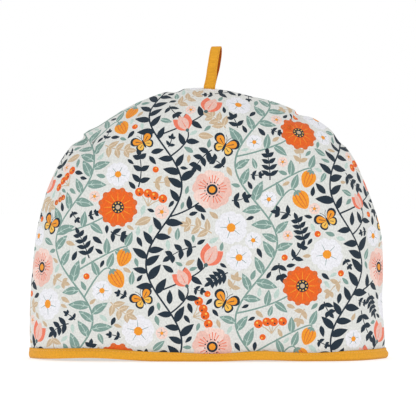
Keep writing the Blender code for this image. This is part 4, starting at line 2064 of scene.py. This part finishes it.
@dataclass
class HemBinding:
    """The amber strip folded round the hem, once round the cosy."""

    form: CosyForm
    cloths: tuple[Cloth, Cloth]
    node: str = "hem_binding"
    spacing: float = 0.0016
    stitch_height: float = 0.0082
    outer_thread: float = -0.00142
    inner_thread: float = 0.00500
    panel_girth: float = 0.188  # from seam to middle along the hem
    ripple: float = 0.00010
    ripple_pitch: float = 0.0031
    ripple_reach: float = 0.0014
    wave: float = 0.00011
    waves: tuple[int, int] = (7, 17)  # times round the cosy
    fast_share: float = 0.6
    fast_phase: float = 1.0
    wave_foot: float = 0.006
    inner_from: float = 0.002
    cut_width: float = 0.026
    end_width: float = 0.12  # share of a panel over which the strip thins towards the seam
    left_end: float = 0.5
    right_end: float = 1.1
    end_top: float = 0.3
    end_from: float = 0.005
    end_rise: float = 0.004

    @cached_property
    def shown(self) -> SmoothLine:
        """The share of the strip's height that shows along the front."""
        return SmoothLine((w.x for w in HEM_WIDTHS), (w.share for w in HEM_WIDTHS))

    def stops(self) -> list[tuple[Side, int, float]]:
        """Lists the ring's stations in order.

        Returns:
            (panel, hem end, 0 at the seam to 1 at the middle) of each.
        """
        count = int(self.panel_girth / self.spacing)
        quarter = [i / count for i in range(count + 1)]
        ring = [(Side.FRONT, 0, w) for w in quarter]
        ring += [(Side.FRONT, 1, w) for w in reversed(quarter[:-1])]
        ring += [(Side.BACK, 1, w) for w in quarter[1:]]
        ring += [(Side.BACK, 0, w) for w in reversed(quarter[1:-1])]
        return ring

    def fullness(self, ends: Array, widths: Array, z: float) -> Array:
        """How far the strip stands out of the cloth, as a share of its full distance.

        Args:
            ends: 0 where a station is nearer the left end of the hem, 1 for the right.
            widths: 0 at the seam to 1 at the middle of a panel.
            z: the height.

        Returns:
            The share at each station, smaller where the strip is sewn flat at the seam.
        """
        low = np.where(ends == 0, self.left_end, self.right_end)
        end = low + (self.end_top - low) * eased((z - self.end_from) / self.end_rise)
        return end + (1 - end) * eased(widths / self.end_width)

    def ring(self, inset: float, z: float) -> Array:
        """One line once round the cosy.

        Args:
            inset: distance inside the form.
            z: its height.

        Returns:
            The points, one a row.
        """
        rows = []
        stops = self.stops()
        for cloth in self.cloths:
            side = cloth.side
            chosen = [(i, end, w) for i, (s, end, w) in enumerate(stops) if s is side]
            index, ends, widths = (np.array(c) for c in zip(*chosen))
            low = max(z, 0.0)
            arch = np.where(ends == 0, low, self.form.arch_length - low)
            own = arch if side is Side.FRONT else self.form.arch_length - arch
            share = cloth.share(own, widths)
            out = self.fullness(ends, widths, z) if inset < 0 else 1.0
            points = self.form.point(arch, share, inset * out, side)
            if side is Side.FRONT:
                points[:, 2] -= z * (1 - self.shown(points[:, 0]))
            points[widths == 0, 1] = 0.0
            rows.append((index, points))
        ring = np.empty((len(stops), 3))
        for index, points in rows:
            ring[index] = points
        return ring

    def build(self, material: bpy.types.Material) -> bpy.types.Object:
        """Builds the binding and hangs it on the cosy.

        Args:
            material: the amber cotton.

        Returns:
            The binding.
        """
        base = self.ring(0.0, 0.0)
        steps = np.linalg.norm(np.roll(base, -1, axis=0) - base, axis=1)
        run = np.concatenate([[0.0], np.cumsum(steps)[:-1]])
        total = steps.sum()
        share = run / total
        ripple = np.sin(share * (math.tau * round(total / self.ripple_pitch)))
        slow, fast = self.waves
        fast_wave = np.sin(share * math.tau * fast + self.fast_phase)
        wave = np.sin(share * math.tau * slow) + self.fast_share * fast_wave
        rings = []
        for p in BINDING_SECTION:
            near = math.exp(-(((p.z - self.stitch_height) / self.ripple_reach) ** 2))
            loose = self.ripple * near * ripple + self.wave * wave * eased(p.z / self.wave_foot)
            if p.inset < self.inner_from:
                loose = -loose
            here = self.ring(p.inset, p.z)
            further = self.ring(p.inset + MM, p.z)
            rings.append(here + (further - here) * (loose / MM)[:, None])
        rings = np.array(rings)
        count, sections = rings.shape[1], rings.shape[0]
        points = rings.reshape(-1, 3)
        faces = []
        for j in range(sections):
            below = (j + 1) % sections
            for i in range(count):
                k = (i + 1) % count
                faces.append((j * count + i, below * count + i, below * count + k, j * count + k))
        obj = add_piece("hem_binding_cloth", points, faces, material)
        self._map(obj.data, run, total, sections)
        fit_out(obj, Slot.BINDING, self.node)
        return obj

    def _map(self, mesh: bpy.types.Mesh, run: Array, total: float, sections: int) -> None:
        """Lays the strip out flat, along its length and across its section.

        Args:
            mesh: the binding's mesh.
            run: distance along the strip at each station.
            total: its whole length.
            sections: how many points its section has.
        """
        layer = mesh.uv_layers.new(name=BOUND.uv_map)
        across = [0.0]
        section = [*BINDING_SECTION, BINDING_SECTION[0]]
        for a, b in zip(section, section[1:]):
            across.append(across[-1] + math.hypot(b.inset - a.inset, b.z - a.z))
        ends = np.append(run, total)
        places = []
        for j in range(sections):
            for i in range(len(run)):
                left, right = ends[i], ends[i + 1]
                places += [left, across[j], left, across[j + 1]]
                places += [right, across[j + 1], right, across[j]]
        layer.data.foreach_set("uv", np.array(places, np.float32))

    def stitch_line(self, outer: bool) -> Array:
        """The line of the topstitches once round, outside or inside the cosy."""
        return self.ring(self.outer_thread if outer else self.inner_thread, self.stitch_height)


@dataclass(frozen=True)
class LoopRow:
    """A section of the loop: half the space between its legs, and the strip's width."""

    height: float
    half_gap: float
    width: float


LOOP_ROWS = (
    LoopRow(height=0.000, half_gap=0.00200, width=0.0113),
    LoopRow(height=0.120, half_gap=0.00220, width=0.0110),
    LoopRow(height=0.280, half_gap=0.00330, width=0.0105),
    LoopRow(height=0.450, half_gap=0.00430, width=0.0103),
    LoopRow(height=0.620, half_gap=0.00465, width=0.0102),
    LoopRow(height=0.800, half_gap=0.00430, width=0.0102),
    LoopRow(height=0.930, half_gap=0.00280, width=0.0102),
    LoopRow(height=1.000, half_gap=0.00000, width=0.0101),
)


@dataclass
class HangingLoop:
    """The amber strip folded over and sewn into the crest seam."""

    form: CosyForm
    node: str = "hanging_loop"
    thickness: float = 0.0012
    height: float = 0.0389
    x: float = 0.0013
    cut_width: float = 0.0106
    lean: float = 0.0069
    early_lean: float = 0.45
    twist: float = math.radians(-16)
    foot_sunk: float = 0.0012
    crest_slope: float = 0.62
    fold_from: float = 0.93
    stitch_inset: float = 0.0014
    stitch_width: float = 0.0006
    stitch_depth: float = 0.22
    stitch_rise: float = 0.47  # share of the thickness, from the strip's middle
    stitch_stop: int = 4  # stations without stitches on each side of the fold
    seam_rise: float = 0.0004
    leg_steps: int = 40
    fold_steps: int = 8
    fold_angles: tuple[float, float] = (0.15, math.pi / 2 - 0.08)
    around: int = 14
    around_step: float = 0.0016
    edge_power: float = 0.35
    face_power: float = 0.5

    @cached_property
    def base_height(self) -> float:
        """Finds where the loop's feet stand.

        Returns:
            Their height.
        """
        low = self.form.arch_height
        arches = np.linspace(low, self.form.arch_length - low, 2001)
        reach = self.form.reach(arches)
        level, along_x, along_z = self.form.ray(arches)
        crest = float(np.interp(self.x, reach * along_x, level + reach * along_z))
        return crest + self.seam_rise

    def line(self) -> list[tuple[float, float, float]]:
        """Follows the middle of the strip from one foot over to the other.

        Returns:
            (y, height, width) of each station.
        """
        heights = [row.height for row in LOOP_ROWS]
        gap = SmoothLine(heights, (row.half_gap for row in LOOP_ROWS))
        width = SmoothLine(heights, (row.width for row in LOOP_ROWS))
        top = float(gap(self.fold_from))
        fold = 1 - self.fold_from
        angles = np.linspace(*self.fold_angles, self.fold_steps)
        shares = [*np.linspace(0.0, self.fold_from, self.leg_steps)]
        shares += [1 - fold * math.cos(a) for a in angles]
        leg = []
        for s in sorted(shares):
            half = float(gap(s))
            if s > self.fold_from:
                half = top * math.sqrt(max((1 - s) / fold, 0.0))
            leg.append((half, s * self.height, float(width(s))))
        leg[0] = (leg[0][0], -self.foot_sunk, leg[0][2])
        front = [(-y, z, w) for y, z, w in leg]
        return front + [(0.0, self.height, LOOP_ROWS[-1].width)] + list(reversed(leg))

    def point(self, y: float, z: float, across: float) -> tuple[float, float, float]:
        """A point of the loop, leaned over and twisted by its height.

        Args:
            y: distance from the middle between the legs.
            z: height above the crest.
            across: distance from the strip's middle line.

        Returns:
            The point.
        """
        share = max(z, 0.0) / self.height
        lean = self.lean * share * (1 + self.early_lean - self.early_lean * share)
        yaw = self.twist * float(eased(share * 2))
        x = self.x + lean + across * math.cos(yaw) - y * math.sin(yaw)
        y = across * math.sin(yaw) + y * math.cos(yaw)
        drop = abs(y) * self.crest_slope if z <= 0 else 0.0
        return x, y, self.base_height + z - drop

    def build(self, material: bpy.types.Material) -> bpy.types.Object:
        """Builds the loop and hangs it on the cosy.

        Args:
            material: the amber cotton.

        Returns:
            The loop.
        """
        line = self.line()
        around = self.around
        rings, run = [], [0.0]
        for i, (y, z, width) in enumerate(line):
            before, after = line[max(i - 1, 0)], line[min(i + 1, len(line) - 1)]
            along = np.array((after[0] - before[0], after[1] - before[1]))
            along /= np.linalg.norm(along)
            out = np.array((-along[1], along[0]))
            if i:
                run.append(run[-1] + math.hypot(y - line[i - 1][0], z - line[i - 1][1]))
            rings.append([])
            for a in np.linspace(0, math.tau, around, endpoint=False):
                c, s = math.cos(a), math.sin(a)
                across = width / 2 * math.copysign(abs(c) ** self.edge_power, c)
                from_line = abs(across) - width / 2 + self.stitch_inset
                dent = 1 - self.stitch_depth * math.exp(-((from_line / self.stitch_width) ** 2))
                thick = self.thickness / 2 * math.copysign(abs(s) ** self.face_power, s) * dent
                rings[-1].append(self.point(y + thick * out[0], z + thick * out[1], across))
        points = np.array(rings).reshape(-1, 3)
        faces = []
        for i in range(len(line) - 1):
            for j in range(around):
                k = (j + 1) % around
                low, high = i * around, (i + 1) * around
                faces.append((low + j, low + k, high + k, high + j))
        faces.append(tuple(reversed(range(around))))
        last = (len(line) - 1) * around
        faces.append(tuple(range(last, last + around)))
        obj = add_piece("hanging_loop_cloth", points, faces, material)
        self._face_out(obj.data)
        self._colour(obj.data)
        self._map(obj.data, run)
        fit_out(obj, Slot.BINDING, self.node)
        return obj

    def _face_out(self, mesh: bpy.types.Mesh) -> None:
        """Turns the faces round if they point inwards.

        Args:
            mesh: the loop's mesh.
        """
        volume = 0.0
        for face in mesh.polygons:
            volume += Vector(face.center).dot(face.normal) * face.area
        if volume < 0:
            mesh.flip_normals()

    def _colour(self, mesh: bpy.types.Mesh) -> None:
        """Stores the cloth's colour, with painted shade on its inner face.

        Args:
            mesh: the loop's mesh.
        """
        layer = mesh.color_attributes.new(LOOPED.ink_attribute, "FLOAT_COLOR", "POINT")
        for i in range(len(mesh.vertices)):
            # painted shade on the strip's inner face
            ink = Ink.LOOP_PAINTED_SHADE if i % self.around > self.around // 2 else Ink.HONEY
            layer.data[i].color = ink.linear()

    def _map(self, mesh: bpy.types.Mesh, run: list[float]) -> None:
        """Lays the strip out flat by each corner's station and place round the section.

        Args:
            mesh: the loop's mesh.
            run: distance along the strip at each station.
        """
        layer = mesh.uv_layers.new(name=BOUND.uv_map)
        for loop in mesh.loops:
            station, j = divmod(loop.vertex_index, self.around)
            layer.data[loop.index].uv = (run[station], self.around_step * j)

    def stitch_lines(self) -> list[Array]:
        """The lines of stitches along both edges of both legs.

        Returns:
            Four lines of points, from foot to fold.
        """
        lines = []
        whole = self.line()
        middle = len(whole) // 2
        front, back = whole[: middle - self.stitch_stop], whole[middle + self.stitch_stop + 1 :]
        for leg, face in ((front, -1), (back, 1)):
            for edge in (-1, 1):
                points = []
                for y, z, width in leg:
                    away = face * self.thickness * self.stitch_rise
                    across = edge * (width / 2 - self.stitch_inset)
                    points.append(self.point(y + away, z, across))
                lines.append(np.array(points))
        return lines


@dataclass
class Stitches:
    """Rows of short sewn stitches that follow a line."""

    pitch: float = 0.0031
    length: float = 0.0024
    thread: float = 0.00050

    def tree(self, material: bpy.types.Material) -> bpy.types.NodeTree:
        """Builds the node tree that lays a stitch at every step of a line.

        Args:
            material: the thread.

        Returns:
            The tree, with inputs Pitch, Length and Thread.
        """
        tree = bpy.data.node_groups.new("stitch_row", "GeometryNodeTree")
        face = tree.interface
        face.new_socket("Line", in_out="INPUT", socket_type="NodeSocketGeometry")
        for name in ("Pitch", "Length", "Thread"):
            face.new_socket(name, in_out="INPUT", socket_type="NodeSocketFloat")
        face.new_socket("Stitches", in_out="OUTPUT", socket_type="NodeSocketGeometry")
        kinds = {
            "given": "NodeGroupInput",
            "curve": "GeometryNodeMeshToCurve",
            "steps": "GeometryNodeCurveToPoints",
            "ball": "GeometryNodeMeshUVSphere",
            "size": "ShaderNodeCombineXYZ",
            "place": "GeometryNodeInstanceOnPoints",
            "real": "GeometryNodeRealizeInstances",
            "smooth": "GeometryNodeSetShadeSmooth",
            "dress": "GeometryNodeSetMaterial",
            "result": "NodeGroupOutput",
        }
        nodes = {name: tree.nodes.new(kind) for name, kind in kinds.items()}
        nodes["steps"].mode = "LENGTH"
        for name, value in {"Segments": 8, "Rings": 6, "Radius": 0.5}.items():
            nodes["ball"].inputs[name].default_value = value
        nodes["dress"].inputs["Material"].default_value = material
        for source, output, target, socket in (
            ("given", "Line", "curve", "Mesh"),
            ("curve", "Curve", "steps", "Curve"),
            ("given", "Pitch", "steps", "Length"),
            ("given", "Thread", "size", "X"),
            ("given", "Thread", "size", "Y"),
            ("given", "Length", "size", "Z"),
            ("steps", "Points", "place", "Points"),
            ("ball", "Mesh", "place", "Instance"),
            ("steps", "Rotation", "place", "Rotation"),
            ("size", "Vector", "place", "Scale"),
            ("place", "Instances", "real", "Geometry"),
            ("real", "Geometry", "smooth", "Geometry"),
            ("smooth", "Geometry", "dress", "Geometry"),
            ("dress", "Geometry", "result", "Stitches"),
        ):
            tree.links.new(nodes[source].outputs[output], nodes[target].inputs[socket])
        return tree

    def build(
        self, name: str, lines: list[Array], closed: bool, material: bpy.types.Material
    ) -> bpy.types.Object:
        """Sews stitches along lines and hangs them on the cosy.

        Args:
            name: the piece's name.
            lines: the lines of points.
            closed: whether each line joins up with its start.
            material: the thread.

        Returns:
            The stitches, as one plain mesh.
        """
        points, edges = [], []
        for line in lines:
            start = len(points)
            points += line.tolist()
            edges += [(start + i, start + i + 1) for i in range(len(line) - 1)]
            if closed:
                edges.append((start + len(line) - 1, start))
        guide_mesh = bpy.data.meshes.new(f"{name}_guide")
        guide_mesh.from_pydata(points, edges, [])
        guide = bpy.data.objects.new(f"{name}_guide", guide_mesh)
        bpy.context.scene.collection.objects.link(guide)
        modifier = guide.modifiers.new("stitch_row", "NODES")
        modifier.node_group = self.tree(material)
        sockets = {
            item.name: item.identifier
            for item in modifier.node_group.interface.items_tree
            if item.in_out == "INPUT"
        }
        modifier[sockets["Pitch"]] = self.pitch
        modifier[sockets["Length"]] = self.length
        modifier[sockets["Thread"]] = self.thread
        bpy.context.view_layer.update()
        graph = bpy.context.evaluated_depsgraph_get()
        mesh = bpy.data.meshes.new_from_object(guide.evaluated_get(graph))
        mesh.name = name
        bpy.data.objects.remove(guide)
        obj = bpy.data.objects.new(name, mesh)
        bpy.context.scene.collection.objects.link(obj)
        fit_out(obj, Slot.BINDING)
        return obj


@dataclass(frozen=True)
class Studio:
    """Camera, soft light and a pale floor."""

    camera_distance: float = 2.1
    camera_height: float = 0.1462
    frame_half_width: float = 0.2028
    sensor: float = 36.0
    view_end: float = 200.0
    horizon: float = 1.0
    zenith: float = 0.82
    fall_from: float = 0.12
    fall_to: float = 0.60
    key_place: tuple[float, float, float] = (-0.40, -2.3, 0.80)
    key_size: float = 1.5
    key_power: float = 4.3
    key_aim: tuple[float, float, float] = (0.0, 0.0, 0.13)
    floor_radius: float = 40.0
    floor_gap: float = 0.0002
    floor_sides: int = 64
    floor_grey: float = 0.60
    floor_glow: float = 0.55

    def build(self) -> None:
        """Sets up the camera, the lights, the surround and the floor."""
        self._camera()
        self._surround()
        self._key()
        self._floor()
        bpy.context.scene.view_settings.view_transform = "Standard"

    def _camera(self) -> None:
        """A long lens, level with the middle of the frame."""
        data = bpy.data.cameras.new("camera")
        data.sensor_width = self.sensor
        data.lens = self.sensor / 2 * self.camera_distance / self.frame_half_width
        data.clip_end = self.view_end
        camera = bpy.data.objects.new("camera", data)
        camera.location = (0.0, -self.camera_distance, self.camera_height)
        camera.rotation_euler = (math.radians(90), 0.0, 0.0)
        bpy.context.scene.collection.objects.link(camera)
        bpy.context.scene.camera = camera

    def _surround(self) -> None:
        """White light from all round, softer from above."""
        world = bpy.data.worlds.new("studio")
        world.use_nodes = True
        nodes, links = world.node_tree.nodes, world.node_tree.links
        background = nodes["Background"]
        background.inputs["Color"].default_value = (1.0, 1.0, 1.0, 1.0)
        direction = nodes.new("ShaderNodeSeparateXYZ")
        links.new(nodes.new("ShaderNodeTexCoord").outputs["Generated"], direction.inputs[0])
        fall = nodes.new("ShaderNodeMapRange")
        fall.inputs["From Min"].default_value = self.fall_from
        fall.inputs["From Max"].default_value = self.fall_to
        fall.inputs["To Min"].default_value = self.horizon
        fall.inputs["To Max"].default_value = self.zenith
        links.new(direction.outputs["Z"], fall.inputs["Value"])
        links.new(fall.outputs["Result"], background.inputs["Strength"])
        bpy.context.scene.world = world

    def _key(self) -> None:
        """A square soft light in front, to the left, that faces the cosy."""
        data = bpy.data.lights.new("key", "AREA")
        data.shape = "SQUARE"
        data.size = self.key_size
        data.energy = self.key_power
        lamp = bpy.data.objects.new("key", data)
        lamp.location = self.key_place
        aim = Vector(self.key_aim) - Vector(self.key_place)
        lamp.rotation_euler = aim.to_track_quat("-Z", "Y").to_euler()
        bpy.context.scene.collection.objects.link(lamp)

    def _floor(self) -> None:
        """A pale round floor."""
        a = np.linspace(0, math.tau, self.floor_sides, endpoint=False)
        ring = np.stack([np.cos(a), np.sin(a), np.zeros(len(a))], axis=1) * self.floor_radius
        ring[:, 2] = -self.floor_gap
        shader = Shader("pale_floor")
        shader.set(Base_Color=(*(self.floor_grey,) * 3, 1.0), Roughness=1.0)
        shader.set(Emission_Color=(1.0, 1.0, 1.0, 1.0), Emission_Strength=self.floor_glow)
        shader.set(Specular_IOR_Level=0.0)
        floor = add_piece("floor", ring, [range(len(a))], shader.material)


def main() -> None:
    """Dresses the cosy and sets up the studio."""
    logging.basicConfig(level=logging.INFO, format="%(name)s: %(message)s")
    form = CosyForm()
    printed, bound, thread = PRINTED.material(), BOUND.material(), ThreadFinish().material()
    deep_thread = ThreadFinish(name="deep_amber_thread_look", colour=(206, 136, 40)).material()
    front, back = Cloth(form, Side.FRONT), Cloth(form, Side.BACK)
    front_print = FloralPrint(shift_x=-62.0, shift_y=-20.0, seed=3)
    back_print = FloralPrint(shift_x=21.0, shift_y=37.0, seed=8)
    PrintedPanel(front, "front_panel", front_print).build(printed)
    PrintedPanel(back, "back_panel", back_print).build(printed)
    binding = HemBinding(form, (front, back))
    binding.build(bound)
    loop = HangingLoop(form)
    loop.build(LOOPED.material())
    hem = Stitches()
    lines = [binding.stitch_line(outer=True), binding.stitch_line(outer=False)]
    hem.build("hem_stitches", lines, True, thread)
    fine = Stitches(pitch=0.0024, length=0.0018, thread=0.00042)
    fine.build("loop_stitches", loop.stitch_lines(), False, deep_thread)
    Studio().build()


if __name__ == "__main__":
    main()
